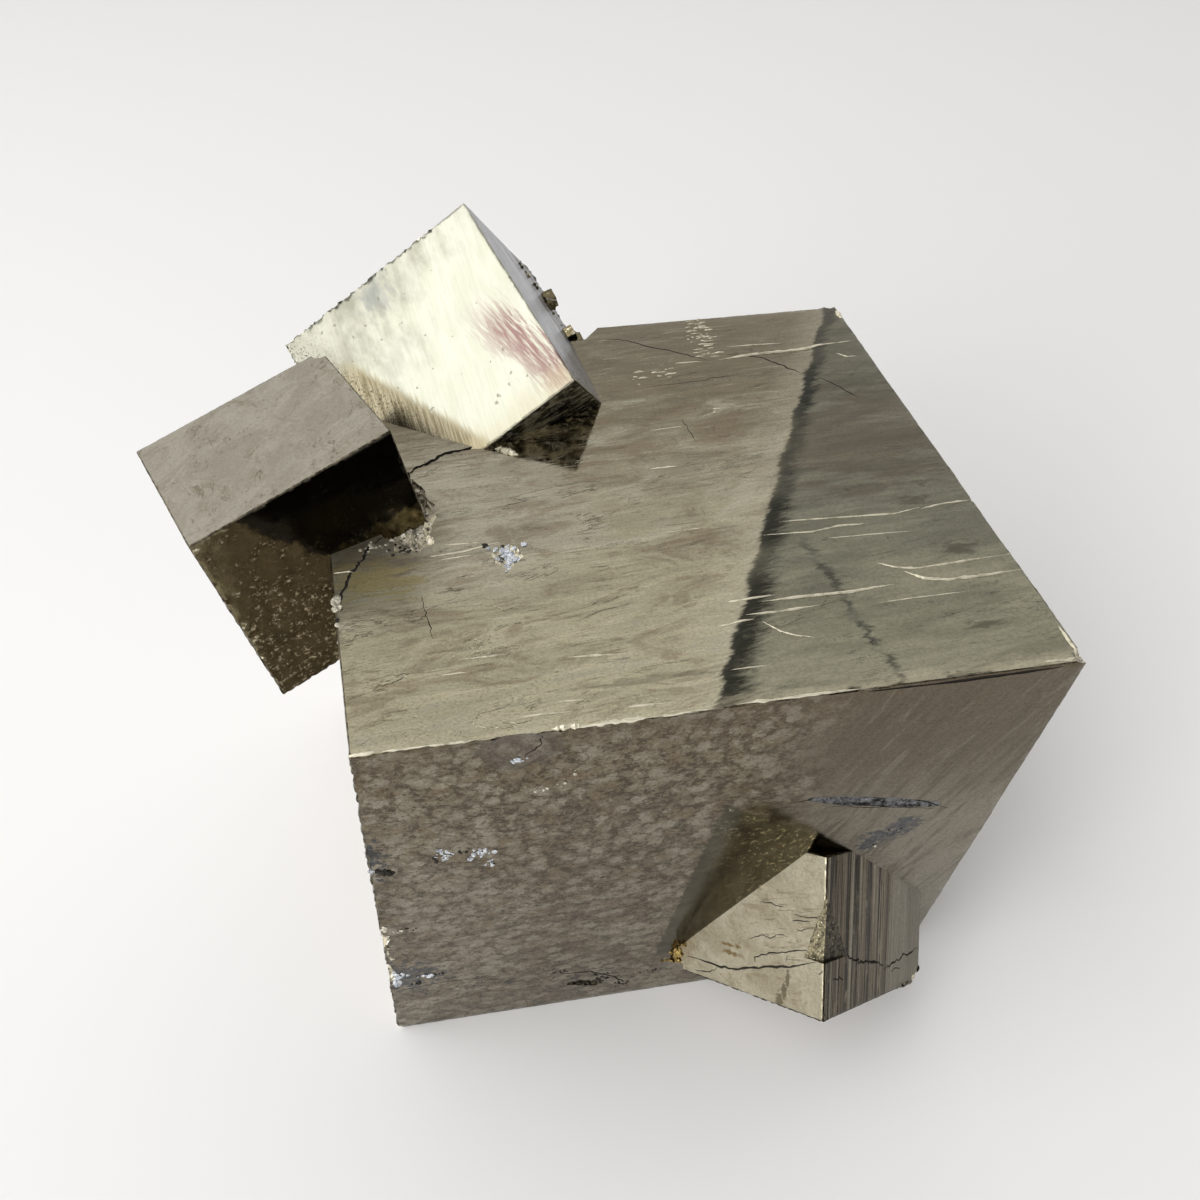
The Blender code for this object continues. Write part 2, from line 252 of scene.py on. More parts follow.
# Crystal, two corners of the shaken region, and how far its points move.
RAGGED_EDGES = (
    ("main_crystal", (-1.0, -1.0, -1.0), (61.0, 57.0, 56.0), 0.015),
    ("main_crystal", (-1.0, -1.0, 1.0), (0.8, 0.8, 54.0), 0.13),
    ("main_crystal", (-1.0, -1.0, 54.0), (43.0, 0.6, 56.0), 0.09),
    ("left_crystal", (-1.0, -1.0, -1.0), (21.0, 18.0, 22.0), 0.012),
    ("left_crystal", (-1.0, -1.0, -1.0), (0.7, 0.7, 16.0), 0.05),
    ("left_crystal", (-1.0, -1.0, -1.0), (21.0, 18.0, 0.6), 0.08),
    ("upper_crystal", (-1.0, -1.0, -1.0), (26.0, 25.0, 18.0), 0.012),
    ("upper_crystal", (4.0, 22.0, -1.0), (26.0, 25.0, 1.0), 0.16),
    ("upper_crystal", (23.4, -1.0, -1.0), (26.0, 25.0, 1.0), 0.14),
    ("upper_crystal", (-1.0, -1.0, 14.0), (1.0, 25.0, 18.0), 0.22),
    ("front_crystal", (-1.0, -1.0, -1.0), (20.0, 25.0, 18.0), 0.012),
    ("front_crystal", (-1.0, -1.0, -1.0), (1.0, 25.0, 0.8), 0.05),
    ("front_crystal", (14.0, -1.0, -1.0), (20.0, 1.0, 1.5), 0.25),
)


def inside(name, low, high):
    """A test for points between two corners, in millimetres along the crystal's edges."""
    to_own = own_frame(name).inverted()

    def test(vert):
        own = to_own @ vert.co
        return all(a < value < b for a, value, b in zip(low, own, high))
    return test


for name, axis, low, high, depth in TERRACES:
    move = [0.0, 0.0, 0.0]
    move[axis] = depth * MM
    edit_picked(pieces[name], "VERT", inside(name, low, high), bpy.ops.transform.translate, value=move)
for seed, (name, low, high, reach) in enumerate(RAGGED_EDGES):
    edge_faces = [face for face in pieces[name].data.polygons if face.material_index == len(SIDES)]
    worn = {point for face in edge_faces for point in face.vertices}
    within = inside(name, low, high)
    edit_picked(
        pieces[name], "VERT", lambda v: v.index in worn and within(v),
        bpy.ops.transform.vertex_random, offset=reach * MM, uniform=0.6, normal=0.4, seed=seed,
    )
print(len(TERRACES), "terraces and", len(RAGGED_EDGES), "worn edges")

# %% [markdown]
# ## Relief on the faces
#
# Pyrite faces are never quite flat. Fine terraces run in one direction on each face, and broad swells
# bend the reflections. A Displace modifier with a cloud texture gives both. The texture reads its place
# from an empty, and stretching that empty stretches the clouds into growth lines. Depths are hundredths
# of a millimetre, as on the real faces, because a polished face shows even these.

# %% Add relief to one side
def relief(name, side, stretch, depth, turn=(0, 0, 0)):
    leave_all()
    bpy.ops.object.empty_add(location=Vector(CRYSTALS[name]["corner"]) * MM)
    guide = bpy.context.object
    extra = Euler([math.radians(angle) for angle in turn])
    guide.rotation_euler = (turn_of(name).to_matrix() @ extra.to_matrix()).to_euler()
    guide.scale = Vector(stretch) * MM
    bpy.context.view_layer.update()
    reading = {"texture_coords": "OBJECT", "texture_coords_object": guide, "vertex_group": side}
    displace(pieces[name], "CLOUDS", 1.0, depth, **reading)
    bpy.data.objects.remove(guide)


# %% Growth lines and swells, side by side
# Crystal, side, length of the clouds in three directions, depth, and a turn in degrees where there is one.
RELIEF = (
    ("main_crystal", "top", (26.0, 11.0, 9.0), 0.16, (0, 0, 4)),
    ("main_crystal", "top", (9.0, 1.1, 1.0), 0.035, (0, 0, 4)),
    ("main_crystal", "front", (10.0, 9.0, 12.0), 0.14),
    ("main_crystal", "front", (2.2, 2.0, 1.6), 0.02),
    ("main_crystal", "right", (9.0, 9.0, 14.0), 0.16),
    ("main_crystal", "right", (1.0, 1.1, 9.0), 0.05),
    ("main_crystal", "back", (14.0, 9.0, 9.0), 0.16),
    ("main_crystal", "back", (9.0, 1.0, 1.1), 0.05),
    ("main_crystal", "left", (9.0, 14.0, 9.0), 0.16),
    ("main_crystal", "left", (1.0, 8.0, 1.1), 0.05),
    ("left_crystal", "top", (7.0, 7.0, 7.0), 0.07),
    ("left_crystal", "front", (8.0, 4.0, 3.0), 0.08),
    ("left_crystal", "front", (1.6, 1.0, 1.2), 0.06),
    ("left_crystal", "left", (4.0, 1.0, 6.0), 0.06),
    ("left_crystal", "back", (6.0, 1.0, 1.2), 0.06),
    ("upper_crystal", "bottom", (2.0, 12.0, 4.0), 0.05),
    ("upper_crystal", "left", (2.0, 8.0, 2.0), 0.10),
    ("upper_crystal", "front", (3.0, 1.0, 1.2), 0.12),
    ("upper_crystal", "top", (1.2, 9.0, 3.0), 0.07),
    ("upper_crystal", "right", (3.0, 1.1, 7.0), 0.07),
    ("upper_crystal", "back", (8.0, 3.0, 1.1), 0.07),
    ("front_crystal", "left", (6.0, 8.0, 6.0), 0.08),
    ("front_crystal", "front", (0.9, 3.0, 18.0), 0.10),
    ("front_crystal", "bottom", (6.0, 1.0, 2.0), 0.06),
    ("front_crystal", "right", (2.0, 1.2, 8.0), 0.06),
)
for layer in RELIEF:
    relief(*layer)
print("relief on", len(RELIEF), "layers")

# %% [markdown]
# ## The step across the top
#
# A growth step crosses the top face from its back right corner to the front edge. Left of it the face
# lies a quarter of a millimetre lower. Its slope is ragged, with teeth along the growth lines. The
# points left of the line are moved down in a few small moves, each one starting a little further from
# the line.

# %% Lower the top face left of its step
STEP_MIDDLE = Vector((14.8, -7.0))
STEP_RUN = 0.476
STEP_LEVELS = 4
STEP_SLOPE = (0.9, 1.9)
BACK_Y = 27.8
TOP_DEPTH = 55.6
TOOTH_STRETCH, TOOTH_REACH = (0.12, 1.1), 0.2
SKIN = 0.6


def from_step(x, y):
    """Millimetres to the right of the step's line, measured along X."""
    return x - STEP_MIDDLE.x - STEP_RUN * (y - STEP_MIDDLE.y)


def left_of_step(point, share):
    """True for a point of the top face left of the ragged line, less a share of the slope's width."""
    if point.z < (TOP_Z - SKIN) * MM:
        return False
    x, y = point.x / MM, point.y / MM
    tooth = noise.noise(Vector((x * TOOTH_STRETCH[0], y * TOOTH_STRETCH[1], 3.0))) * TOOTH_REACH
    width = STEP_SLOPE[0] + (STEP_SLOPE[1] - STEP_SLOPE[0]) * (BACK_Y - y) / TOP_DEPTH
    return from_step(x, y) < tooth - share * width


for level in range(STEP_LEVELS):
    edit_picked(
        pieces["main_crystal"], "VERT", lambda v: left_of_step(v.co, level / STEP_LEVELS),
        bpy.ops.transform.translate, value=(0, 0, -STEP_DROP * MM / STEP_LEVELS),
    )
print("step is", STEP_DROP, "mm high")

# %% [markdown]
# ## Cutters for hollows, chips and cracks
#
# Where a crystal broke, the surface is shell-shaped and granular. A lump made from an icosphere with a
# crumpled surface is taken away from the block by a Boolean, and leaves its own finish in the hollow. A
# crack is a thin wandering tube, taken away in the same manner. All cutters of a crystal are joined
# first, so that one Boolean does all of its work.

# %% Lumps and cracks
def lump(name, centre, size, turn=(0, 0, 0), crumple=0.3, grain=0.45, level=4):
    """An icosphere with a crumpled surface, all sizes in millimetres."""
    leave_all()
    place = Vector(centre) * MM
    bpy.ops.mesh.primitive_ico_sphere_add(subdivisions=level, radius=0.5 * MM, location=place)
    piece = bpy.context.object
    piece.name = name
    piece.scale = size
    piece.rotation_euler = [math.radians(angle) for angle in turn]
    settle(piece)
    for cell_size, depth in ((grain, crumple), (grain * 3.0, crumple * 1.2)):
        displace(piece, "VORONOI", cell_size * MM, depth, texture_coords="GLOBAL")
    return piece


def thread(place, route, width, seed, wander=0.12, steps=5, blunt=0.25, round_steps=1):
    """A thin tube along a route on a face, with small random wanderings and tapering ends."""
    rng = random.Random(seed)
    points = []
    for start, end in zip(route, route[1:]):
        for step in range(steps):
            flat = Vector(start).lerp(Vector(end), step / steps)
            if step:
                flat += Vector((rng.uniform(-wander, wander), rng.uniform(-wander, wander)))
            points.append(place(*flat))
    points.append(place(*route[-1]))
    curve = bpy.data.curves.new("thread", "CURVE")
    curve.dimensions = "3D"
    curve.bevel_depth = width * MM / 2
    curve.bevel_resolution = round_steps
    curve.use_fill_caps = True
    spline = curve.splines.new("POLY")
    spline.points.add(len(points) - 1)
    last = len(points) - 1
    for number, (target, point) in enumerate(zip(spline.points, points)):
        target.co = (*point, 1.0)
        ends = min(1.0, blunt + 4 * min(number, last - number) / last)
        target.radius = ends * rng.uniform(0.6, 1.25)
    piece = bpy.data.objects.new("thread", curve)
    bpy.context.scene.collection.objects.link(piece)
    take(piece)
    bpy.ops.object.convert(target="MESH")
    piece = bpy.context.object
    edit_all(piece, "VERT", bpy.ops.mesh.remove_doubles, threshold=0.001 * MM)
    return piece


def threads_along(place, routes, seed, wander=0.12):
    """One thread for each route and width, each with its own seed."""
    return [thread(place, route, width, seed + n, wander) for n, (route, width) in enumerate(routes)]


def dress(piece, finish):
    piece.data.materials.append(FINISHES[finish])
    return piece


def join(parts, name):
    take(parts[0])
    for part in parts[1:]:
        part.select_set(True)
    bpy.ops.object.join()
    piece = bpy.context.object
    piece.name = name
    return piece


def cut(piece, cutters, tangled=False):
    """Takes the cutters away. They leave their own finish. Tangled ones cross themselves."""
    tool = join(cutters, "cutter")
    take(piece)
    modifier = piece.modifiers.new("cut", "BOOLEAN")
    modifier.operation = "DIFFERENCE"
    modifier.solver = "EXACT"
    modifier.use_self = tangled
    modifier.material_mode = "TRANSFER"
    modifier.object = tool
    bpy.ops.object.modifier_apply(modifier=modifier.name)
    bpy.data.objects.remove(tool)
    print(piece.name, "after its cuts has", len(piece.data.polygons), "faces")


# %% [markdown]
# ## Mixing finishes
#
# A finish is one Principled shader whose colour, roughness and bump come from noise read in Object
# coordinates. The little class below adds nodes one at a time, so that each finish further on reads
# like a recipe.

# %% A recipe for a finish
class Finish:
    def __init__(self, name, crystal=None, metallic=1.0):
        self.material = bpy.data.materials.new(name)
        self.material.use_nodes = True
        self.tree = self.material.node_tree
        self.shader = self.tree.nodes["Principled BSDF"]
        self.shader.inputs["Metallic"].default_value = metallic
        coordinates = self.tree.nodes.new("ShaderNodeTexCoord").outputs["Object"]
        inputs = {"Vector": coordinates, "Scale": (MM, MM, MM)}
        mapping = self.add("ShaderNodeMapping", inputs, vector_type="TEXTURE")
        if crystal:
            mapping.inputs["Location"].default_value = Vector(CRYSTALS[crystal]["corner"]) * MM
            mapping.inputs["Rotation"].default_value = turn_of(crystal)
        self.place = mapping.outputs[0]

    def add(self, kind, inputs, **settings):
        """A new node with its settings, and with values or links on its inputs."""
        node = self.tree.nodes.new(kind)
        for key, value in settings.items():
            setattr(node, key, value)
        for key, value in inputs.items():
            if isinstance(value, bpy.types.NodeSocket):
                self.tree.links.new(value, node.inputs[key])
            else:
                node.inputs[key].default_value = value
        return node

    def math(self, operation, first, *others):
        total = first
        for value in others:
            total = self.add("ShaderNodeMath", {0: total, 1: value}, operation=operation).outputs[0]
        return total

    def sum(self, *values):
        return self.math("ADD", *values)

    def minus(self, *values):
        return self.math("SUBTRACT", *values)

    def times(self, *values):
        return self.math("MULTIPLY", *values)

    def most(self, *masks):
        return self.math("MAXIMUM", *masks)

    def between(self, value, low, high, to_low=0.0, to_high=1.0):
        """A soft step: to_low below low, to_high above high."""
        inputs = {"Value": value, "From Min": low, "From Max": high, "To Min": to_low, "To Max": to_high}
        return self.add("ShaderNodeMapRange", inputs, interpolation_type="SMOOTHSTEP").outputs[0]

    def jitter(self, noise, reach):
        """The noise turned into a shift of up to this reach either way."""
        return self.between(noise, 0.3, 0.7, -reach, reach)

    def axes(self):
        parts = self.add("ShaderNodeSeparateXYZ", {0: self.place}).outputs
        return parts[0], parts[1], parts[2]

    def stretched(self, lengths, turn=(0, 0, 0)):
        """The place, measured in units of one length or three, in millimetres."""
        turned = [math.radians(angle) for angle in turn]
        lengths = (lengths,) * 3 if isinstance(lengths, float) else lengths
        inputs = {"Vector": self.place, "Scale": lengths, "Rotation": turned}
        return self.add("ShaderNodeMapping", inputs, vector_type="TEXTURE").outputs[0]

    def clouds(self, lengths, turn=(0, 0, 0), detail=4.0, rough=0.6, bend=0.0):
        inputs = {"Scale": 1.0, "Detail": detail, "Roughness": rough, "Distortion": bend}
        inputs["Vector"] = self.stretched(lengths, turn)
        return self.add("ShaderNodeTexNoise", inputs).outputs["Fac"]

    def cells(self, lengths, warp):
        """The distance to the middle of the nearest cell. The warp makes the cells uneven."""
        where = self.stretched(lengths)
        inputs = {"Vector": where, "Scale": 1.3, "Detail": 3.0}
        shift = self.add("ShaderNodeTexNoise", inputs).outputs["Color"]
        scaled = self.add("ShaderNodeVectorMath", {0: shift, "Scale": warp}, operation="SCALE").outputs[0]
        moved = self.add("ShaderNodeVectorMath", {0: where, 1: scaled}, operation="ADD").outputs[0]
        return self.add("ShaderNodeTexVoronoi", {"Vector": moved, "Scale": 1.0}).outputs["Distance"]

    def lines(self, lengths, turn=(0, 0, 0), count=7.0, width=0.10, detail=3.0, bend=0.6):
        """1 on thin contour lines of a cloud, like the rims of growth layers, and 0 between them."""
        level = self.times(self.clouds(lengths, turn, detail, 0.55, bend), count)
        return self.between(self.math("PINGPONG", level, 1.0), 0.0, width, 1.0, 0.0)

    def spot(self, centre, radii, ragged=0.0, grain=(1.0, 1.0, 1.0), soft=0.35):
        """1 inside an ellipsoid about the centre, 0 outside, with a ragged rim."""
        inputs = {"Vector": self.place, "Location": centre, "Scale": radii}
        inside = self.add("ShaderNodeMapping", inputs, vector_type="TEXTURE").outputs[0]
        reach = self.add("ShaderNodeVectorMath", {0: inside}, operation="LENGTH").outputs["Value"]
        if ragged:
            reach = self.sum(reach, self.jitter(self.clouds(grain), ragged))
        return self.between(reach, 1.0 - soft, 1.0 + soft, 1.0, 0.0)

    def spots(self, grain, soft, *rows):
        """Several spots as one mask, each with its centre, radii and raggedness."""
        return self.most(*(self.spot(*row, grain, soft) for row in rows))

    def blend(self, share, first, second):
        """A mix of two colours, or sockets, by the share of the second."""
        node = self.tree.nodes.new("ShaderNodeMix")
        node.data_type = "RGBA"
        for socket, value in ((node.inputs[0], share), (node.inputs[6], first), (node.inputs[7], second)):
            if isinstance(value, bpy.types.NodeSocket):
                self.tree.links.new(value, socket)
            else:
                socket.default_value = (*value, 1.0)
        return node.outputs[2]

    def paint(self, colour, tone, mask, share):
        """The colour with the tone laid over it where the mask is 1, by this share."""
        return self.blend(self.times(mask, share), colour, tone)

    def tint(self, colour, tone, source, low, high, share=1.0):
        """The colour with the tone laid over it where the source goes from low to high."""
        return self.blend(self.between(source, low, high, 0.0, share), colour, tone)

    def shade(self, colour, value):
        """The colour made lighter or darker by a factor."""
        return self.add("ShaderNodeVectorMath", {0: colour, "Scale": value}, operation="SCALE").outputs[0]

    def done(self, colour, roughness, bump=None, depth=0.02):
        self.tree.links.new(colour, self.shader.inputs["Base Color"])
        if isinstance(roughness, bpy.types.NodeSocket):
            self.tree.links.new(roughness, self.shader.inputs["Roughness"])
        else:
            self.shader.inputs["Roughness"].default_value = roughness
        if bump:
            inputs = {"Height": bump, "Distance": depth * MM, "Strength": 1.0}
            normal = self.add("ShaderNodeBump", inputs).outputs[0]
            self.tree.links.new(normal, self.shader.inputs["Normal"])
        return self.material


# %% [markdown]
# ## The top face
#
# Left of the step the top is a warm brownish grey, ruled by fine lines almost parallel to the front
# edge, with browner patches and a paler khaki corner in front. Right of the step it is darker and
# greener; the darker tone there is a painted reflection of darker surroundings. The step itself shows
# as a ragged dark strip, widest in front, which is painted shade on the step's slope. Its line is a
# straight one, so the shader can find it from the place alone.

# %% Tones on both sides of the step
def top_left(f, y, along, patches, swell):
    left = f.tint((0.418, 0.386, 0.272), (0.292, 0.262, 0.188), along, -26.0, 4.0)
    left = f.tint(left, (0.18, 0.157, 0.111), along, 0.0, 16.0)
    left_zone = f.spot((-14.0, -3.0, 54.4), (10.0, 10.0, 9.0), soft=0.5)
    left = f.paint(left, (0.405, 0.38, 0.308), left_zone, 0.6)
    left = f.tint(left, (0.22, 0.174, 0.116), patches, 0.5, 0.62, 0.55)
    left = f.tint(left, (0.395, 0.38, 0.305), patches, 0.46, 0.36, 0.45)
    left = f.tint(left, (0.185, 0.161, 0.115), y, 6.0, 24.0, 0.75)
    left = f.shade(left, f.between(swell, 0.34, 0.66, 1.08, 0.9))
    strokes = f.clouds((4.5, 0.42, 1.0), (0, 0, 4), detail=4.0, rough=0.6, bend=0.9)
    share = f.between(f.clouds((7.0, 4.0, 3.0), detail=3.0), 0.44, 0.58)
    left = f.blend(f.times(f.between(strokes, 0.56, 0.66, 0.0, 0.65), share), left, (0.16, 0.124, 0.08))
    left = f.tint(left, (0.48, 0.45, 0.35), strokes, 0.42, 0.32, 0.3)
    return left


# Right of the step the darker tone is a painted reflection: the real face there mirrors darker surroundings.
def top_right(f, along, swell):
    right = f.tint((0.244, 0.233, 0.17), (0.188, 0.181, 0.137), along, -27.0, -10.0)
    right = f.tint(right, (0.138, 0.129, 0.097), along, 4.0, 14.0)
    brown = f.spot((27.0, 2.0, 54.0), (14.0, 6.5, 9.0), 0.6, (9.0, 1.4, 2.0), 0.4)
    right = f.paint(right, (0.12, 0.102, 0.076), brown, 0.75)
    right = f.shade(right, f.between(swell, 0.34, 0.66, 1.14, 0.86))
    return right


# %% The step's painted shade strip and the faint line beside it
FAINT_LINE_X, FAINT_LINE_RUN = 14.1, -0.186


def step_shade_band(f, x, y):
    """The ragged and the torn distance from the step line, and the dark strip along it, which is painted
    shade.
    """
    slope = f.times(y, STEP_RUN)
    offset = STEP_MIDDLE.x - STEP_RUN * STEP_MIDDLE.y
    from_line = f.minus(x, slope, offset)
    wander = f.clouds((30.0, 3.6, 1.0), detail=2.0)
    ragged = f.sum(from_line, f.jitter(wander, 0.3))
    hairy = f.clouds((1.8, 0.36, 1.0), (0, 0, 8), detail=5.0, rough=0.75, bend=0.5)
    torn = f.sum(ragged, f.jitter(hairy, 0.65))
    ragged = f.sum(ragged, f.jitter(hairy, 0.25))
    strength = f.most(
        f.times(f.between(y, 4.5, 8.5), f.between(y, 16.5, 13.0)),
        f.times(f.between(y, -13.5, -10.5), f.between(y, -4.5, -7.5)),
        f.between(y, -13.5, -18.0),
    )
    strength = f.times(f.between(strength, 0.0, 1.0, 0.65, 1.0), f.between(hairy, 0.46, 0.64, 1.0, 0.9))
    front_width = f.between(y, 20.0, -28.0, 1.7, 3.3)
    rise = f.between(ragged, -0.7, -0.1)
    fall = f.between(f.math("DIVIDE", torn, front_width), 0.25, 0.95, 1.0, 0.0)
    step_shade = f.times(rise, fall, strength)
    return ragged, torn, step_shade


def faint_line(f, x, y, teeth):
    faint = f.sum(f.minus(f.times(y, FAINT_LINE_RUN), x), FAINT_LINE_X)
    faint = f.sum(faint, f.jitter(teeth, 0.7))
    faint = f.times(f.between(faint, -0.7, 0.0), f.between(faint, 0.0, 0.6, 1.0, 0.0))
    faint = f.times(faint, f.between(y, -11.0, -14.0))
    faint = f.times(faint, f.between(f.clouds((30.0, 1.8, 9.0), detail=3.0), 0.36, 0.56, 0.25, 1.0))
    return faint


# %% Finish of the main crystal's top
def top_marks(f, colour):
    """Brown smudges near the step and a golden patch on the left."""
    smudges = f.most(
        f.spots(
            (1.2, 0.4, 1.0), 0.6,
            ((28.3, -8.3, 54.4), (1.3, 0.5, 3.0), 0.8),
            ((29.6, -15.2, 54.4), (1.5, 0.8, 3.0), 0.9),
            ((29.7, -6.2, 54.4), (0.6, 0.4, 3.0), 0.8),
            ((28.6, -24.4, 54.4), (1.5, 0.3, 3.0), 0.9),
        ),
        f.times(f.spot((-1.0, -25.7, 54.4), (4.8, 0.35, 3.0), 0.6, (2.4, 0.4, 1.0), 0.3), 0.6),
    )
    colour = f.paint(colour, (0.075, 0.064, 0.044), smudges, 0.62)
    gold = f.spot((-22.3, -11.0, 54.0), (3.2, 2.4, 9.0), 0.6, (3.0, 0.6, 1.0), 0.5)
    colour = f.paint(colour, (0.38, 0.32, 0.15), gold, 0.75)
    return colour


def main_top():
    f = Finish("main_top")
    x, y, _ = f.axes()
    fine = f.clouds((7.0, 0.6, 1.0), (0, 0, 4), detail=5.0, rough=0.65, bend=0.5)
    hair = f.clouds((2.4, 0.2, 1.0), (0, 0, 4), detail=3.0, rough=0.6, bend=0.3)
    swell = f.clouds((13.0, 2.8, 1.0), (0, 0, 5), detail=5.0, rough=0.6, bend=0.8)
    patches = f.clouds((8.0, 3.0, 4.0), (0, 0, 6), detail=7.0, rough=0.68, bend=0.9)
    grain = f.clouds((0.3, 0.2, 0.2), detail=3.0, rough=0.75)
    rims = f.most(
        f.lines((13.0, 3.4, 3.0), (0, 0, 5), 7.0, 0.07, 5.0, 1.2),
        f.times(f.lines((6.0, 1.6, 3.0), (0, 0, 3), 5.0, 0.08, 6.0, 1.0), 0.6),
    )
    rims = f.times(rims, f.between(f.clouds((5.0, 3.0, 3.0), detail=3.0), 0.44, 0.56, 0.15, 1.0))
    along = f.sum(y, f.jitter(patches, 7.0))
    teeth = f.clouds((4.0, 0.8, 1.0), (0, 0, 4), detail=6.0, rough=0.7)
    ragged, torn, step_shade = step_shade_band(f, x, y)
    # Right of the step the colour turns to the darker tone, which is painted reflection.
    colour = f.tint(top_left(f, y, along, patches, swell), top_right(f, along, swell), ragged, -0.5, 0.4)
    # Painted shade on the step's slope: a near-black strip along the step.
    colour = f.paint(colour, (0.022, 0.023, 0.018), step_shade, 0.96)
    glow = f.times(f.between(torn, -5.0, -0.6), f.between(ragged, -0.5, -0.1, 1.0, 0.0))
    colour = f.paint(colour, (0.48, 0.44, 0.345), glow, 0.28)
    colour = f.paint(colour, (0.05, 0.05, 0.042), faint_line(f, x, y, teeth), 0.8)
    colour = top_marks(f, colour)
    crowded = f.spot((-20.0, -12.0, 54.0), (7.0, 8.0, 9.0), soft=0.5)
    rim_share = f.times(f.between(crowded, 0.0, 1.0, 0.36, 1.0), rims)
    rim_share = f.times(rim_share, f.between(ragged, -0.5, 0.5, 1.0, 0.35))
    colour = f.shade(colour, f.between(rim_share, 0.0, 1.0, 1.0, 0.38))
    colour = f.shade(colour, f.between(fine, 0.36, 0.64, 1.05, 0.95))
    # A pale painted highlight along the front edge of the top, where the edge catches the light.
    front_edge_highlight = f.sum(y, 29.6, f.jitter(teeth, 0.8))
    colour = f.tint(colour, (0.56, 0.51, 0.37), front_edge_highlight, 1.8, 0.1, 0.35)
    pepper = f.spot((-17.0, -24.0, 54.4), (9.0, 5.0, 3.0), 0.8, (2.0, 1.0, 1.0), 0.6)
    pepper = f.times(f.between(grain, 0.58, 0.7), f.sum(pepper, 0.45))
    colour = f.paint(colour, (0.13, 0.105, 0.072), pepper, 0.5)
    colour = f.shade(colour, f.between(hair, 0.3, 0.7, 1.04, 0.96))
    colour = f.shade(colour, f.between(grain, 0.3, 0.7, 1.12, 0.88))
    mirror = f.spot((-4.5, 6.5, 54.4), (9.0, 8.5, 9.0), soft=0.2)
    dull = f.spot((-22.5, -6.0, 54.4), (8.0, 8.5, 9.0), soft=0.35)
    height = f.sum(f.times(fine, 0.7), f.times(hair, 0.3))
    height = f.minus(height, f.times(rims, 0.8))
    height = f.times(height, f.between(mirror, 0.0, 1.0, 1.0, 0.35))
    rough = f.times(f.between(patches, 0.35, 0.65, 0.13, 0.22), f.between(mirror, 0.0, 1.0, 1.0, 0.35))
    rough = f.sum(rough, f.times(dull, 0.36))
    return f.done(colour, rough, height, 0.03)


# %% [markdown]
# ## The front face
#
# The front is worn and mottled: pale blobs between dark seams on the left, streaks like wood on the
# upper right, and blackened, torn patches near the foot. All of it is colour on a nearly flat face. The
# olive patch beside the front crystal is that crystal's reflection, so its two borders are straight
# lines.

# %% Blobs and seams of the front
def blobs_and_seams(f, x, z, broad, fleck, mottling):
    """Pale blobs in dark seams, smaller and rounder above than below, and fading to the right."""
    speckle = f.clouds((0.55, 0.55, 0.42), detail=6.0, rough=0.8, bend=0.8)
    high = f.cells(1.5, warp=0.5)
    low = f.cells((2.2, 2.0, 1.15), warp=0.5)
    low_share = f.between(f.sum(z, f.times(broad, 20.0)), 30.0, 42.0, 1.0, 0.0)
    inside_cell = f.sum(f.times(low, low_share), f.times(high, f.minus(1.0, low_share)))
    left_share = f.between(f.sum(x, f.times(broad, 22.0)), 20.0, 32.0, 1.0, 0.15)
    base = f.tint((0.168, 0.137, 0.092), (0.212, 0.18, 0.126), broad, 0.38, 0.62)
    tan = f.tint(base, (0.17, 0.124, 0.072), mottling, 0.48, 0.64, 0.6)
    reach = f.sum(inside_cell, f.jitter(speckle, 0.2))
    pale = f.times(f.between(reach, 0.52, 0.34), f.between(mottling, 0.62, 0.42))
    pale = f.times(pale, left_share)
    colour = f.paint(tan, (0.335, 0.303, 0.236), pale, 0.68)
    seams = f.times(f.between(reach, 0.46, 0.62), f.between(fleck, 0.44, 0.56))
    seams = f.times(seams, f.between(left_share, 0.15, 1.0, 0.2, 1.0))
    colour = f.paint(colour, (0.066, 0.05, 0.031), seams, 0.85)
    worms_high = f.lines((1.9, 1.9, 1.7), (0, 0, 0), 6.0, 0.2, 4.0, 0.8)
    worms_low = f.lines((2.6, 2.0, 1.0), (0, 0, 0), 6.0, 0.2, 4.0, 0.8)
    worms = f.blend(low_share, worms_high, worms_low)
    worms = f.times(worms, f.between(fleck, 0.42, 0.54))
    worms = f.times(worms, f.between(left_share, 0.15, 1.0, 0.15, 0.75))
    colour = f.blend(worms, colour, (0.07, 0.052, 0.033))
    colour = f.tint(colour, (0.08, 0.06, 0.039), speckle, 0.54, 0.6, 0.7)
    colour = f.tint(colour, (0.31, 0.282, 0.222), speckle, 0.44, 0.37, 0.5)
    return colour, reach
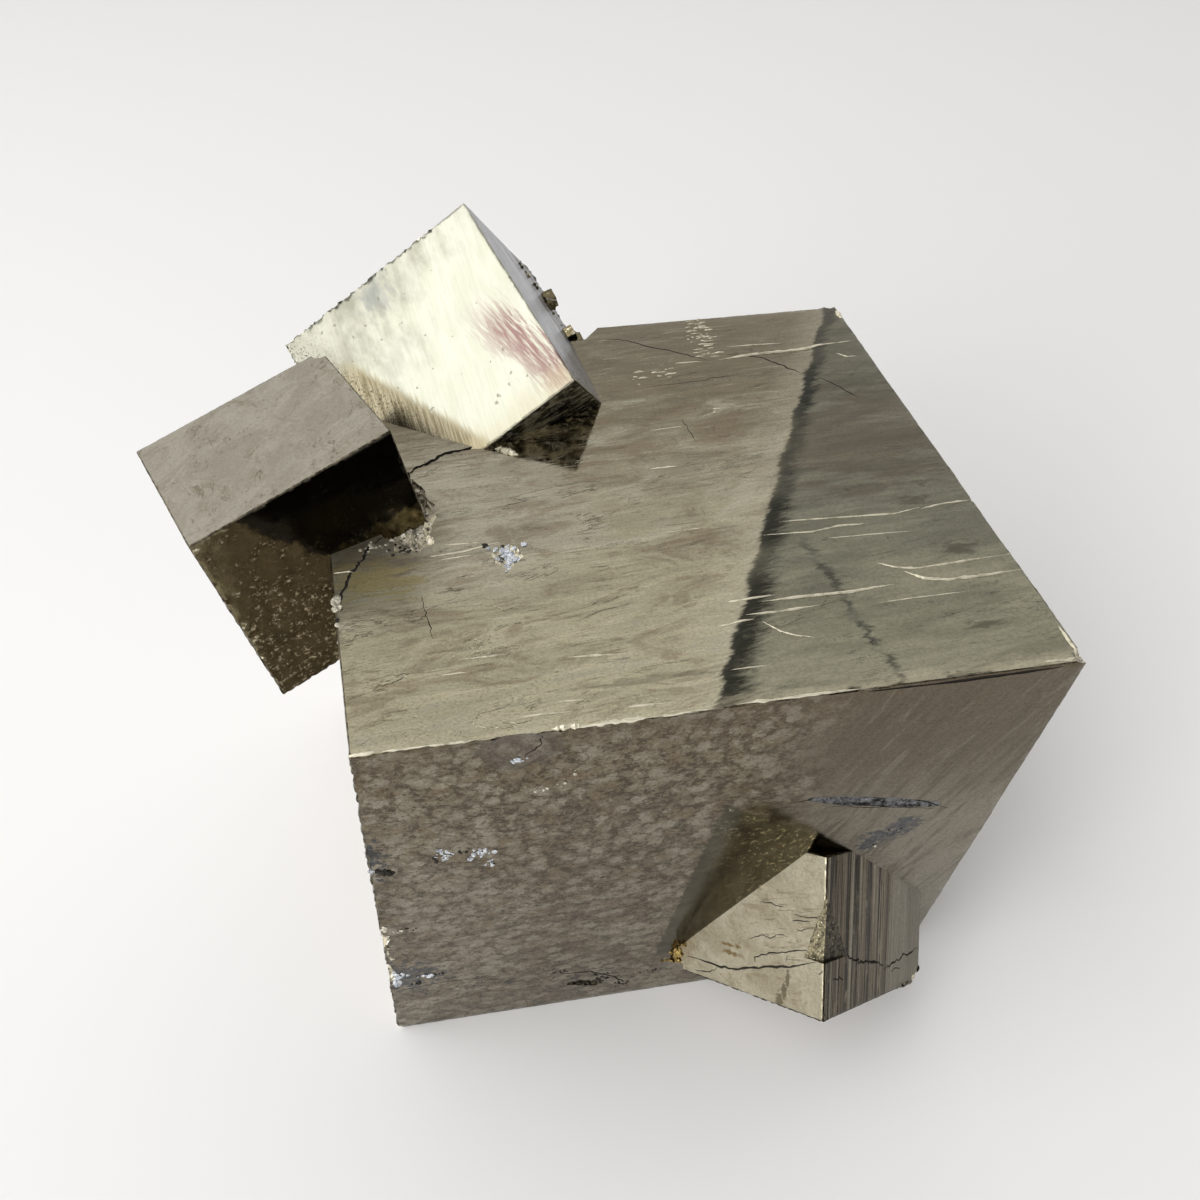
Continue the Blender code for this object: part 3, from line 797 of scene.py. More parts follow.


# %% Blue, black and shell-shaped marks of the front, with painted shading of the scallop
def front_marks(f, colour, fleck):
    blue = f.most(
        f.spots(
            (0.7, 0.7, 0.5), 0.25,
            ((24.8, -29.0, 30.9), (1.9, 3.0, 1.4), 0.6),
            ((23.1, -29.0, 29.4), (1.9, 3.0, 1.1), 0.6),
            ((21.8, -29.0, 27.8), (1.1, 3.0, 1.0), 0.6),
        ),
        f.spot((-26.4, -28.0, 38.0), (1.6, 3.0, 3.6), 0.9, (0.7, 0.7, 0.7), 0.3),
        f.spot((-26.0, -28.0, 13.5), (3.0, 3.0, 2.6), 0.9, (0.7, 0.7, 0.5), 0.3),
    )
    blue = f.times(blue, f.between(fleck, 0.48, 0.6, 1.0, 0.5))
    colour = f.paint(colour, (0.046, 0.05, 0.058), blue, 0.95)
    torn = f.lines((3.2, 3.0, 1.3), (0, 0, 0), 6.0, 0.3, 6.0, 1.2)
    black = f.most(
        f.spots(
            (2.0, 2.0, 0.8), 0.2,
            ((-5.4, -28.0, 6.6), (7.5, 3.0, 2.6), 0.7),
            ((-18.5, -28.0, 9.6), (8.5, 3.0, 1.6), 0.7),
        ),
        f.spot((-26.0, -28.0, 17.0), (1.8, 3.0, 2.4), 0.9, (0.5, 0.5, 0.4), 0.2),
    )
    black = f.times(black, f.most(torn, f.between(fleck, 0.54, 0.6)))
    colour = f.paint(colour, (0.022, 0.02, 0.018), black, 0.92)
    # The paler tone inside the scallop and its dark rim are painted shading of the hollow.
    shell = f.spot((-11.6, -29.6, 52.6), (3.0, 3.0, 2.6), 0.2, (1.0, 1.0, 1.0), 0.3)
    shell_rim_shade = f.times(shell, f.minus(1.0, shell))
    colour = f.paint(colour, (0.19, 0.182, 0.178), shell, 0.35)
    colour = f.paint(colour, (0.08, 0.068, 0.054), shell_rim_shade, 2.2)
    return colour


# %% The front's right half and its olive patch
OLIVE_LEFT_X, OLIVE_LEFT_RUN = -0.6, 0.17
OLIVE_TOP_Z, OLIVE_TOP_RUN = 44.7, -0.84


def wood_like(f, z):
    """The smoother right half of the front, streaked like wood in its upper part."""
    wood_turn = (0, 24, 0)
    wood = f.clouds((1.1, 5.0, 10.0), wood_turn, detail=5.0, rough=0.65, bend=1.3)
    right = f.tint((0.205, 0.181, 0.134), (0.12, 0.099, 0.064), z, 30.0, 44.0)
    right = f.tint(right, (0.1, 0.08, 0.055), wood, 0.5, 0.62, 0.75)
    right = f.tint(right, (0.225, 0.2, 0.16), wood, 0.46, 0.36, 0.45)
    grain_lines = f.lines((6.0, 9.0, 12.0), wood_turn, 9.0, 0.22, 2.0, 0.8)
    grain_lines = f.times(grain_lines, f.between(z, 30.0, 40.0))
    right = f.paint(right, (0.1, 0.078, 0.052), grain_lines, 0.45)
    return right


def olive_patch(f, x, z, fleck, mottling):
    """The place and the tone of the olive patch, which is a reflection of the front crystal."""
    jitter = f.jitter(fleck, 0.25)
    olive_left = f.sum(f.minus(x, f.times(z, OLIVE_LEFT_RUN), OLIVE_LEFT_X), jitter)
    olive_top = f.sum(f.minus(f.sum(OLIVE_TOP_Z, f.times(x, OLIVE_TOP_RUN)), z), jitter)
    olive = f.times(f.between(olive_left, -0.1, 0.2), f.between(olive_top, -0.1, 0.2))
    olive = f.times(olive, f.between(x, 17.0, 15.5), f.between(z, 8.0, 10.0))
    glints = f.clouds(0.7, detail=5.0, rough=0.85)
    near_crystal = f.between(f.sum(x, f.times(z, 0.25), f.times(mottling, 9.0)), 16.0, 23.0)
    olive_tone = f.tint((0.15, 0.13, 0.072), (0.098, 0.083, 0.044), mottling, 0.4, 0.6)
    sparks = f.times(f.between(glints, 0.56, 0.61), near_crystal)
    olive_tone = f.paint(olive_tone, (0.8, 0.72, 0.46), sparks, 0.95)
    olive_tone = f.shade(olive_tone, f.between(olive_left, 0.0, 7.0, 0.55, 0.95))
    return olive, olive_tone


# %% Finish of the main crystal's front
def main_front():
    f = Finish("main_front")
    x, _, z = f.axes()
    broad = f.clouds((14.0, 14.0, 11.0), detail=3.0, bend=0.4)
    grain = f.clouds((0.3, 0.3, 0.26), detail=4.0, rough=0.8)
    fleck = f.clouds((0.8, 0.8, 0.6), detail=6.0, rough=0.75, bend=0.5)
    mottling = f.clouds((3.4, 3.0, 2.6), detail=6.0, rough=0.7, bend=0.8)
    colour, reach = blobs_and_seams(f, x, z, broad, fleck, mottling)
    smooth = f.between(f.sum(x, f.times(broad, 12.0)), 13.0, 24.0)
    right = wood_like(f, z)
    colour = f.blend(smooth, colour, right)
    dirt = f.times(f.between(fleck, 0.58, 0.64), smooth)
    colour = f.paint(colour, (0.085, 0.068, 0.048), dirt, 0.4)
    colour = front_marks(f, colour, fleck)
    edge_tone = f.between(f.sum(z, f.times(fleck, 3.0)), 50.0, 56.0, 0.0, 0.35)
    colour = f.blend(edge_tone, colour, (0.13, 0.1, 0.068))
    colour = f.shade(colour, f.between(grain, 0.28, 0.72, 1.25, 0.75))
    mirror = f.spot((8.0, -29.0, 24.0), (10.0, 4.0, 16.0), soft=0.2)
    olive, olive_tone = olive_patch(f, x, z, fleck, mottling)
    colour = f.paint(colour, olive_tone, olive, 0.95)
    height = f.sum(f.times(grain, 0.4), f.minus(f.times(reach, -0.5), fleck))
    height = f.times(height, f.between(mirror, 0.0, 1.0, 1.0, 0.25))
    rough = f.times(f.between(mottling, 0.35, 0.65, 0.14, 0.24), f.between(mirror, 0.0, 1.0, 1.0, 0.3))
    return f.done(colour, rough, height, 0.022)


# %% [markdown]
# ## The other faces of the crystals
#
# Faces away from the top and front are the same mineral with plainer markings. One recipe takes the
# crystal, the direction of the growth lines and the colours, and serves every such face.

# %% A general ruled face
def ruled_face(name, crystal, lengths, pale, dark, deep):
    f = Finish(name, crystal)
    fine = f.clouds(lengths, detail=6.0, rough=0.7)
    wide = f.clouds([4.0 * length for length in lengths], detail=3.0, bend=0.5)
    patches = f.clouds(7.0, detail=6.0, rough=0.7, bend=0.6)
    grain = f.clouds(0.26, detail=4.0, rough=0.8)
    colour = f.tint(dark, pale, wide, 0.38, 0.62)
    colour = f.tint(colour, dark, patches, 0.5, 0.62, 0.6)
    colour = f.tint(colour, deep, fine, 0.54, 0.66, 0.6)
    colour = f.tint(colour, pale, fine, 0.42, 0.3, 0.36)
    colour = f.shade(colour, f.between(grain, 0.28, 0.72, 1.22, 0.78))
    height = f.sum(f.times(fine, 0.7), f.times(grain, 0.35))
    return f.done(colour, f.between(patches, 0.35, 0.65, 0.18, 0.3), height, 0.03)


# %% [markdown]
# ## Broken rock, cracks, worn edges and host rock
#
# A fresh break shows small shell-shaped grains of two tones with a few bright glints, and the glints are
# painted highlights. It is less like a mirror than a face, so some of these finishes are only partly
# metallic.
# Cracks are nearly black, and the same near-black finish is a painted shadow in the gap under the top's
# front edge and along the scallop's rim. Worn edges are dull, and the grains of host rock are no metal at
# all.

# %% Finish of broken rock, cracks, edges and host rock
def broken_face():
    f = Finish("broken_face", metallic=0.3)
    chips = f.cells(0.7, warp=0.4)
    grain = f.clouds(0.6, detail=5.0, rough=0.8)
    colour = f.tint((0.03, 0.026, 0.02), (0.68, 0.62, 0.47), grain, 0.4, 0.5)
    # The near-white chips are painted glints.
    colour = f.tint(colour, (0.95, 0.92, 0.8), chips, 0.34, 0.18, 0.95)
    height = f.sum(f.times(chips, 0.9), grain)
    return f.done(colour, f.between(grain, 0.3, 0.7, 0.2, 0.45), height, 0.1)


def grainy(name, dark, pale, glint, size, metallic):
    """Small broken grains of two tones, with a few bright glints that are painted highlights."""
    f = Finish(name, metallic=metallic)
    chips = f.cells(size, warp=0.3)
    grain = f.clouds(size, detail=5.0, rough=0.8)
    colour = f.tint(dark, pale, grain, 0.4, 0.6)
    colour = f.tint(colour, glint, chips, 0.2, 0.08, 0.9)
    height = f.sum(f.times(chips, 0.9), grain)
    return f.done(colour, f.between(grain, 0.3, 0.7, 0.22, 0.5), height, 0.08)


# Nearly black: the dark of real cracks, and painted shadow where the gap and scallop threads stand for
# shade.
def crack_and_shadow_dark():
    f = Finish("crack_and_shadow_dark", metallic=0.2)
    grain = f.clouds(0.4, detail=3.0)
    colour = f.blend(grain, (0.01, 0.008, 0.006), (0.035, 0.028, 0.02))
    return f.done(colour, 0.8)


def nicked(name, dark, pale, roughness):
    """A worn edge, dull and nicked."""
    f = Finish(name)
    nicks = f.clouds(0.8, detail=4.0, rough=0.7)
    return f.done(f.tint(dark, pale, nicks, 0.4, 0.58), roughness, nicks, 0.04)


def host_rock():
    f = Finish("host_rock", metallic=0.0)
    grain = f.clouds(0.3, detail=5.0, rough=0.8)
    colour = f.tint((0.22, 0.25, 0.3), (0.8, 0.83, 0.86), grain, 0.38, 0.6)
    colour = f.tint(colour, (0.05, 0.045, 0.04), grain, 0.64, 0.74)
    return f.done(colour, 0.55, grain, 0.08)


# The cream colour is a painted highlight, for ledges and rims that catch the light.
def cream_highlight():
    f = Finish("cream_highlight", metallic=0.4)
    fade = f.clouds((1.2, 0.5, 0.5), detail=3.0)
    colour = f.tint((0.4, 0.37, 0.27), (0.74, 0.69, 0.54), fade, 0.32, 0.54)
    return f.done(colour, 0.45, fade, 0.02)


GRAINY = {
    "broken_gold": ((0.12, 0.08, 0.03), (0.48, 0.35, 0.12), (0.9, 0.78, 0.45), 0.45, 1.0),
    "broken_dark": ((0.03, 0.026, 0.02), (0.12, 0.105, 0.078), (0.38, 0.34, 0.24), 0.5, 1.0),
    "broken_olive": ((0.05, 0.043, 0.028), (0.3, 0.265, 0.17), (0.8, 0.75, 0.58), 0.45, 1.0),
    "ledge_face": ((0.06, 0.058, 0.056), (0.24, 0.24, 0.25), (0.45, 0.45, 0.46), 0.6, 1.0),
    "chip_pale_and_glint": ((0.24, 0.22, 0.17), (0.7, 0.66, 0.54), (0.95, 0.93, 0.86), 0.5, 0.3),
}
NICKED = {
    "worn_edge": ((0.06, 0.05, 0.036), (0.22, 0.195, 0.145), 0.42),
    "edge_dark": ((0.012, 0.01, 0.007), (0.055, 0.046, 0.033), 0.5),
}
COMMON = (main_top, main_front, broken_face, crack_and_shadow_dark, host_rock, cream_highlight)
FINISHES = {finish.__name__: finish() for finish in COMMON}
FINISHES.update({name: grainy(name, *tones) for name, tones in GRAINY.items()})
FINISHES.update({name: nicked(name, *tones) for name, tones in NICKED.items()})
print("finishes:", sorted(FINISHES))

# %% [markdown]
# ## The small crystals
#
# Each small crystal has its own growth history, so its faces differ in tone. The left one has a grey
# top and an olive front with golden glints. The upper one turns its polished face to the lamp. The
# front one is tan on its left face and deeply ruled on its right.

# %% Finishes of the left crystal
def left_top():
    """Grey mauve, with soft clouds and worm-like brown lines in patches."""
    f = Finish("left_top", "left_crystal")
    clouds = f.clouds((6.0, 3.0, 3.0), (0, 0, 25), detail=5.0, rough=0.6, bend=0.8)
    mottling = f.clouds((2.6, 3.4, 3.0), detail=6.0, rough=0.7, bend=0.8)
    grain = f.clouds(0.35, detail=4.0, rough=0.8)
    worms = f.lines((1.7, 2.6, 2.0), (0, 0, -20), 7.0, 0.16, 5.0, 1.0)
    colour = f.tint((0.41, 0.382, 0.318), (0.335, 0.308, 0.25), clouds, 0.36, 0.64)
    worms = f.times(worms, f.between(mottling, 0.47, 0.58))
    colour = f.paint(colour, (0.15, 0.12, 0.08), worms, 0.8)
    colour = f.tint(colour, (0.255, 0.218, 0.155), mottling, 0.53, 0.64, 0.5)
    colour = f.tint(colour, (0.45, 0.425, 0.36), mottling, 0.45, 0.35, 0.35)
    colour = f.paint(colour, (0.12, 0.098, 0.068), f.between(grain, 0.62, 0.72), 0.7)
    colour = f.shade(colour, f.between(grain, 0.3, 0.7, 1.1, 0.9))
    return f.done(colour, f.between(mottling, 0.35, 0.65, 0.16, 0.28), f.minus(grain, worms), 0.018)


REFLECTION_EDGE_START, REFLECTION_EDGE_FROM, REFLECTION_EDGE_RUN, REFLECTION_EDGE_FLOOR = 5.1, 20.4, -1.65, 12.2


def left_front():
    """Olive brown, with dark pits and many small golden glints that are painted highlights, and a near-black
    upper part that is a painted reflection of the main crystal's top.
    """
    f = Finish("left_front", "left_crystal")
    streaks = f.clouds((4.0, 1.2, 1.2), (0, 25, 0), detail=5.0, rough=0.7)
    mottling = f.clouds(2.4, detail=6.0, rough=0.7, bend=0.6)
    grain = f.clouds(0.35, detail=5.0, rough=0.8)
    glints = f.clouds((0.75, 0.75, 0.65), detail=5.0, rough=0.85)
    colour = f.tint((0.185, 0.155, 0.088), (0.12, 0.098, 0.055), mottling, 0.38, 0.62)
    colour = f.tint(colour, (0.19, 0.16, 0.092), streaks, 0.54, 0.66, 0.5)
    colour = f.tint(colour, (0.028, 0.022, 0.013), grain, 0.58, 0.68, 0.8)
    u, _, w = f.axes()
    # Above this edge the face is painted near-black: a painted reflection of the main crystal's top.
    edge = f.most(f.sum(REFLECTION_EDGE_FROM - REFLECTION_EDGE_RUN * REFLECTION_EDGE_START, f.times(u, REFLECTION_EDGE_RUN)), REFLECTION_EDGE_FLOOR)
    black = f.between(f.sum(f.minus(w, edge), f.jitter(mottling, 0.8)), -0.3, 0.5)
    corner = f.times(f.between(u, 15.0, 3.0), f.between(w, 16.0, 8.0))
    # The golden glints are painted highlights, thicker near the lower left corner.
    bright = f.between(f.sum(mottling, f.times(corner, 0.16)), 0.48, 0.6)
    bright = f.times(f.between(glints, 0.55, 0.6), bright)
    colour = f.paint(colour, (0.95, 0.88, 0.66), bright, 0.95)
    colour = f.paint(colour, (0.022, 0.021, 0.02), black, 0.9)
    colour = f.shade(colour, f.between(grain, 0.3, 0.7, 1.2, 0.8))
    return f.done(colour, f.between(mottling, 0.35, 0.65, 0.07, 0.13), grain, 0.01)


# %% Finishes of the upper crystal's smaller sides
def upper_side():
    """Lilac grey near the bright face, and dark and porous towards the outer edge."""
    f = Finish("upper_side", "upper_crystal")
    _, _, c = f.axes()
    grain = f.clouds(0.5, detail=5.0, rough=0.8)
    streaks = f.clouds((1.6, 6.0, 1.6), detail=5.0, rough=0.7)
    colour = f.tint((0.42, 0.425, 0.455), (0.26, 0.262, 0.28), streaks, 0.36, 0.64)
    outer = f.between(f.sum(c, f.jitter(streaks, 3.0)), 9.0, 13.0)
    pores = f.tint((0.12, 0.118, 0.115), (0.03, 0.028, 0.026), grain, 0.44, 0.56)
    colour = f.blend(outer, colour, pores)
    colour = f.shade(colour, f.between(grain, 0.28, 0.72, 1.15, 0.85))
    return f.done(colour, 0.26, grain, 0.05)


def upper_under():
    """Almost black, partly a painted dark reflection, with golden streaks and glints along the lower edge
    that are painted highlights.
    """
    f = Finish("upper_under", "upper_crystal")
    streaks = f.clouds((4.5, 1.0, 0.8), (0, 14, 0), detail=6.0, rough=0.75)
    glints = f.clouds((1.1, 0.7, 0.45), (0, 14, 0), detail=5.0, rough=0.85)
    # A near-black base, partly painted dark reflection; the bright golden streaks and glints are painted
    # highlights.
    colour = f.tint((0.018, 0.016, 0.012), (0.38, 0.335, 0.225), streaks, 0.46, 0.55)
    colour = f.tint(colour, (1.0, 0.95, 0.74), streaks, 0.54, 0.57)
    colour = f.tint(colour, (1.0, 0.97, 0.86), glints, 0.53, 0.56)
    return f.done(colour, 0.3, f.sum(streaks, glints), 0.12)


# %% Finishes of the front crystal
def front_left():
    """Tan, with paler patches, thin brown lines and small dots."""
    f = Finish("front_left", "front_crystal")
    patches = f.clouds((5.0, 4.5, 3.0), detail=6.0, rough=0.65, bend=0.7)
    mottling = f.clouds((2.2, 2.4, 1.6), detail=6.0, rough=0.7, bend=0.8)
    grain = f.clouds(0.32, detail=4.0, rough=0.8)
    worms = f.lines((4.0, 4.0, 1.5), (0, 0, 0), 6.0, 0.1, 5.0, 0.9)
    colour = f.tint((0.44, 0.402, 0.3), (0.345, 0.308, 0.22), patches, 0.38, 0.62)
    colour = f.tint(colour, (0.24, 0.19, 0.115), mottling, 0.56, 0.66, 0.55)
    worms = f.times(worms, f.between(mottling, 0.46, 0.58))
    colour = f.paint(colour, (0.13, 0.098, 0.056), worms, 0.6)
    rays = f.clouds((3.0, 3.4, 0.34), (-12, 0, 0), detail=4.0, rough=0.6, bend=0.6)
    rays = f.times(f.between(rays, 0.55, 0.63), f.spot((0.0, 4.2, 8.0), (9.0, 4.2, 3.6), soft=0.6))
    colour = f.paint(colour, (0.15, 0.118, 0.072), rays, 0.75)
    stain = f.spots(
        (0.5, 0.4, 0.4), 0.3,
        ((0.0, 4.35, 2.9), (9.0, 0.26, 0.9), 0.5),
        ((0.0, 4.75, 1.7), (9.0, 0.3, 0.8), 0.5),
        ((0.0, 5.25, 0.6), (9.0, 0.42, 0.8), 0.5),
    )
    colour = f.paint(colour, (0.105, 0.082, 0.048), stain, 0.75)
    rusty = f.most(
        f.spots(
            (0.4, 0.4, 0.3), 0.4,
            ((0.0, 12.0, 4.45), (9.0, 0.75, 0.16), 0.5),
            ((0.0, 10.7, 4.55), (9.0, 0.4, 0.2), 0.5),
            ((0.0, 11.6, 3.65), (9.0, 1.1, 0.22), 0.5),
        ),
        f.times(f.spot((0.0, 18.2, 2.6), (9.0, 1.6, 1.8), 0.5, (0.6, 0.6, 0.5), 0.6), 0.5),
    )
    colour = f.paint(colour, (0.17, 0.105, 0.035), rusty, 0.85)
    colour = f.tint(colour, (0.16, 0.122, 0.072), grain, 0.62, 0.72, 0.6)
    colour = f.shade(colour, f.between(grain, 0.3, 0.7, 1.12, 0.88))
    return f.done(colour, f.between(mottling, 0.35, 0.65, 0.18, 0.3), grain, 0.018)


def front_right():
    """Brownish grey, deeply ruled by dark vertical lines that thin out towards the right end."""
    f = Finish("front_right", "front_crystal")
    along, _, _ = f.axes()
    ruled = f.clouds((0.42, 3.0, 40.0), detail=4.0, rough=0.75)
    wide = f.clouds((1.9, 3.0, 60.0), detail=3.0, rough=0.6)
    grain = f.clouds(0.3, detail=4.0, rough=0.8)
    breaks = f.clouds((1.2, 3.0, 3.0), detail=4.0, rough=0.7)
    colour = f.tint((0.19, 0.166, 0.122), (0.1, 0.08, 0.053), wide, 0.4, 0.6)
    dark = f.times(f.between(ruled, 0.45, 0.55), f.between(breaks, 0.68, 0.54))
    dark = f.times(dark, f.between(along, 9.5, 13.0, 1.0, 0.3))
    colour = f.paint(colour, (0.02, 0.014, 0.009), dark, 1.0)
    colour = f.tint(colour, (0.25, 0.225, 0.175), ruled, 0.42, 0.34, 0.7)
    colour = f.tint(colour, (0.205, 0.188, 0.15), along, 11.0, 13.0, 0.55)
    colour = f.shade(colour, f.between(grain, 0.28, 0.72, 1.22, 0.78))
    return f.done(colour, 0.22, f.sum(f.times(ruled, -1.0), f.times(grain, 0.2)), 0.07)


# %% [markdown]
# ## The bright face
#
# The upper crystal's broad face mirrors the soft lamp. A purple plume rises across it from one corner,
# which is a thin tarnish film, so it is a tone and not a shape. The green corner and the brown strip
# are tones as well.

# %% Finish of the bright face, and all plain faces
PLUME_FOOT, PLUME_RUN = 0.6, 0.27


def upper_bright():
    """Cream, with purple streaks, a greenish pitted corner and a brown strip."""
    f = Finish("upper_bright", "upper_crystal")
    b, a, _ = f.axes()
    fan = (0, 0, 15)
    fine = f.clouds((0.34, 7.0, 1.0), fan, detail=5.0, rough=0.7)
    grain = f.clouds((0.26, 0.32, 0.3), detail=4.0, rough=0.8)
    mottling = f.clouds((2.4, 6.0, 3.0), fan, detail=6.0, rough=0.65, bend=0.4)
    cream = f.tint((0.372, 0.37, 0.312), (0.345, 0.343, 0.275), mottling, 0.35, 0.65)
    barbs = f.clouds((0.36, 3.6, 1.0), (0, 0, -8), detail=5.0, rough=0.7, bend=0.3)
    plume = f.minus(b, f.times(a, PLUME_RUN), PLUME_FOOT)
    plume = f.sum(plume, f.jitter(barbs, 1.3))
    purple = f.between(f.math("ABSOLUTE", plume, 0.0), 0.7, 2.7, 1.0, 0.0)
    purple = f.times(purple, f.times(f.between(a, 14.5, 8.5), f.between(a, -0.5, 1.0)))
    purple = f.times(purple, f.between(barbs, 0.38, 0.56, 0.4, 1.0))
    colour = f.paint(cream, (0.15, 0.075, 0.074), purple, 0.88)
    green = f.spots(
        (2.0, 4.0, 1.0), 0.8,
        ((23.0, 19.0, 0.0), (8.5, 8.0, 9.0), 0.5),
        ((14.0, 23.5, 0.0), (9.0, 4.5, 9.0), 0.5),
    )
    green_tone = f.tint((0.262, 0.257, 0.208), (0.185, 0.183, 0.144), mottling, 0.38, 0.62)
    colour = f.paint(colour, green_tone, green, 0.92)
    bruise = f.spot((12.0, 21.0, 0.0), (1.6, 1.8, 9.0), 0.8, (0.7, 2.0, 1.0), 0.6)
    colour = f.paint(colour, (0.15, 0.16, 0.165), bruise, 0.45)
    past = f.minus(b, f.times(a, 0.47), 10.2)
    past = f.sum(past, f.jitter(fine, 0.4))
    strip = f.times(f.between(past, -0.4, 0.7), f.between(a, 18.5, 15.0))
    strip_tone = f.tint((0.112, 0.091, 0.05), (0.25, 0.22, 0.148), fine, 0.4, 0.6)
    colour = f.paint(colour, strip_tone, strip, 0.96)
    pits = f.times(f.between(past, 0.8, 1.6), f.between(grain, 0.52, 0.6))
    pits = f.times(pits, f.between(a, 5.0, 9.0, 0.0, 1.0))
    corner = f.times(f.between(b, 17.5, 21.0), f.between(grain, 0.56, 0.63))
    pits = f.most(pits, f.times(corner, 0.7))
    colour = f.paint(colour, (0.03, 0.026, 0.02), pits, 0.9)
    warm = f.between(f.sum(a, f.jitter(mottling, 1.5)), 3.2, 0.2)
    colour = f.paint(colour, (0.29, 0.255, 0.165), warm, 0.45)
    dots = f.cells(1.7, warp=0.8)
    colour = f.tint(colour, (0.12, 0.105, 0.08), dots, 0.13, 0.06, 0.7)
    colour = f.shade(colour, f.between(fine, 0.3, 0.7, 1.04, 0.94))
    return f.done(colour, 0.22, f.sum(f.times(fine, 0.5), f.times(grain, 0.2)), 0.014)


GREY = ((0.33, 0.285, 0.235), (0.225, 0.19, 0.155), (0.095, 0.075, 0.055))
RULED = {
    "main_side": ("main_crystal", (0.6, 0.6, 7.0)),
    "main_back": ("main_crystal", (7.0, 0.6, 0.6)),
    "front_top": ("front_crystal", (0.8, 6.0, 1.0)),
}
FINISHES.update({name: ruled_face(name, *choice, *GREY) for name, choice in RULED.items()})
for finish in (left_top, left_front, upper_side, upper_under, front_left, front_right, upper_bright):
    FINISHES[finish.__name__] = finish()
print("finishes in all:", len(FINISHES))

# %% [markdown]
# ## Finishes on the sides
#
# Every face still carries the number of its side. The table names the finish of each side in the order
# left, right, front, back, bottom and top, and the worn edges between them get a finish of their own.

# %% Put the finishes on the sides
SIDE_FINISHES = {
    "main_crystal": "main_side main_side main_front main_back main_back main_top worn_edge",
    "left_crystal": "left_front left_front left_front left_front left_front left_top worn_edge",
    "upper_crystal": "upper_side" + " upper_bright upper_under" + 4 * " upper_bright",
    "front_crystal": "front_left front_top front_right front_top front_top front_top edge_dark",
}
for name, row in SIDE_FINISHES.items():
    mesh = pieces[name].data
    wanted = row.split()
    slots = sorted(set(wanted))
    for finish in slots:
        mesh.materials.append(FINISHES[finish])
    for face in mesh.polygons:
        face.material_index = slots.index(wanted[face.material_index])
    print(name, "wears", slots)

# %% [markdown]
# ## Cut the main crystal
#
# The broken hollow at the foot of the left crystal, the scallop in the front edge, the long ledge and
# the pits on the front, and the chips along the edges are where the solid has them. The crack winds
# round the foot of the two crystals on top. The back face has a step too: its left half lies deeper, as
# the notch in the top back edge shows.

# %% The step in the back face
RECESS_LOW = Vector((-5.0, 51.3, -5.0))
RECESS_HIGH = Vector((29.9, 60.7, 59.6))
BACK_DEPTH = 55.7
SLANT_AT_BACK = 3.6
RECESS_SLANT = SLANT_AT_BACK * (RECESS_HIGH.y - RECESS_LOW.y) / (BACK_DEPTH - RECESS_LOW.y)
RECESS_CUTS = 60


def recess_cutter():
    """A box that leans out on one side, with a grid of points and a little relief of its own."""
    leave_all()
    middle, size = (RECESS_LOW + RECESS_HIGH) / 2, RECESS_HIGH - RECESS_LOW
    bpy.ops.mesh.primitive_cube_add(size=1.0, location=middle, scale=size)
    piece = bpy.context.object
    settle(piece)

    def slants(vert):
        return vert.co.x > middle.x and vert.co.y > middle.y
    edit_picked(piece, "VERT", slants, bpy.ops.transform.translate, value=(RECESS_SLANT, 0, 0))
    edit_all(piece, "EDGE", bpy.ops.mesh.subdivide, number_cuts=RECESS_CUTS)
    piece.matrix_world = own_frame("main_crystal")
    settle(piece)
    displace(piece, "CLOUDS", 3.0 * MM, 0.25)
    return dress(piece, "main_back")


cut(pieces["main_crystal"], [recess_cutter()])

# %% Hollows and chips of the main crystal
# Centre, size, turn in degrees, crumple depth and finish of each lump.
MAIN_CHIPS = {
    "broken_hollow": ((-19.4, -2.6, 54.6), (5.2, 11.5, 3.4), (0, 0, 8), 0.9, "broken_face"),
    "top_pit": ((-10.6, -9.6, 54.3), (2.8, 2.8, 0.9), (0, 0, 0), 0.3, "broken_face"),
    "front_scallop": ((-11.9, -29.8, 52.9), (4.8, 1.0, 3.8), (0, 0, 0), 0.05, "main_front"),
    "front_ledge": ((21.4, -29.25, 36.0), (16.0, 1.2, 1.6), (0, 18, 0), 0.16, "ledge_face"),
    "front_pit": ((24.2, -29.2, 30.0), (3.0, 0.8, 1.0), (0, -38, 0), 0.12, "ledge_face"),
    "low_pit": ((-6.6, -28.2, 4.6), (4.2, 1.4, 1.8), (0, 20, 0), 0.4, "broken_dark"),
    "edge_chip_high": ((-26.9, -28.6, 22.4), (1.8, 1.8, 3.4), (0, 0, 0), 0.4, "broken_face"),
    "edge_chip_low": ((-27.2, -28.2, 14.2), (1.9, 1.9, 5.2), (0, 0, 0), 0.4, "broken_face"),
    "low_corner_chip": ((-28.2, -28.1, -0.2), (1.9, 1.9, 1.5), (0, 0, 0), 0.3, "broken_face"),
    "back_corner_chip": ((31.3, 26.3, 54.6), (2.6, 2.2, 1.5), (0, 0, 0), 0.4, "chip_pale_and_glint"),
    "right_edge_chip": ((34.0, -8.9, 54.7), (1.0, 1.5, 0.9), (0, 0, 0), 0.3, "chip_pale_and_glint"),
    "right_corner_chip": ((35.4, -29.0, 54.6), (2.4, 1.7, 0.9), (0, 0, 0), 0.3, "chip_pale_and_glint"),
}


def chips(name, table, to_model=Matrix.Scale(MM, 4)):
    """Cuts the table's lumps out of a crystal."""
    cutters = []
    for chip, (centre, size, turn, crumple, finish) in table.items():
        piece = lump(chip, to_model @ Vector(centre) / MM, size, turn, crumple)
        cutters.append(dress(piece, finish))
    cut(pieces[name], cutters)


chips("main_crystal", MAIN_CHIPS)

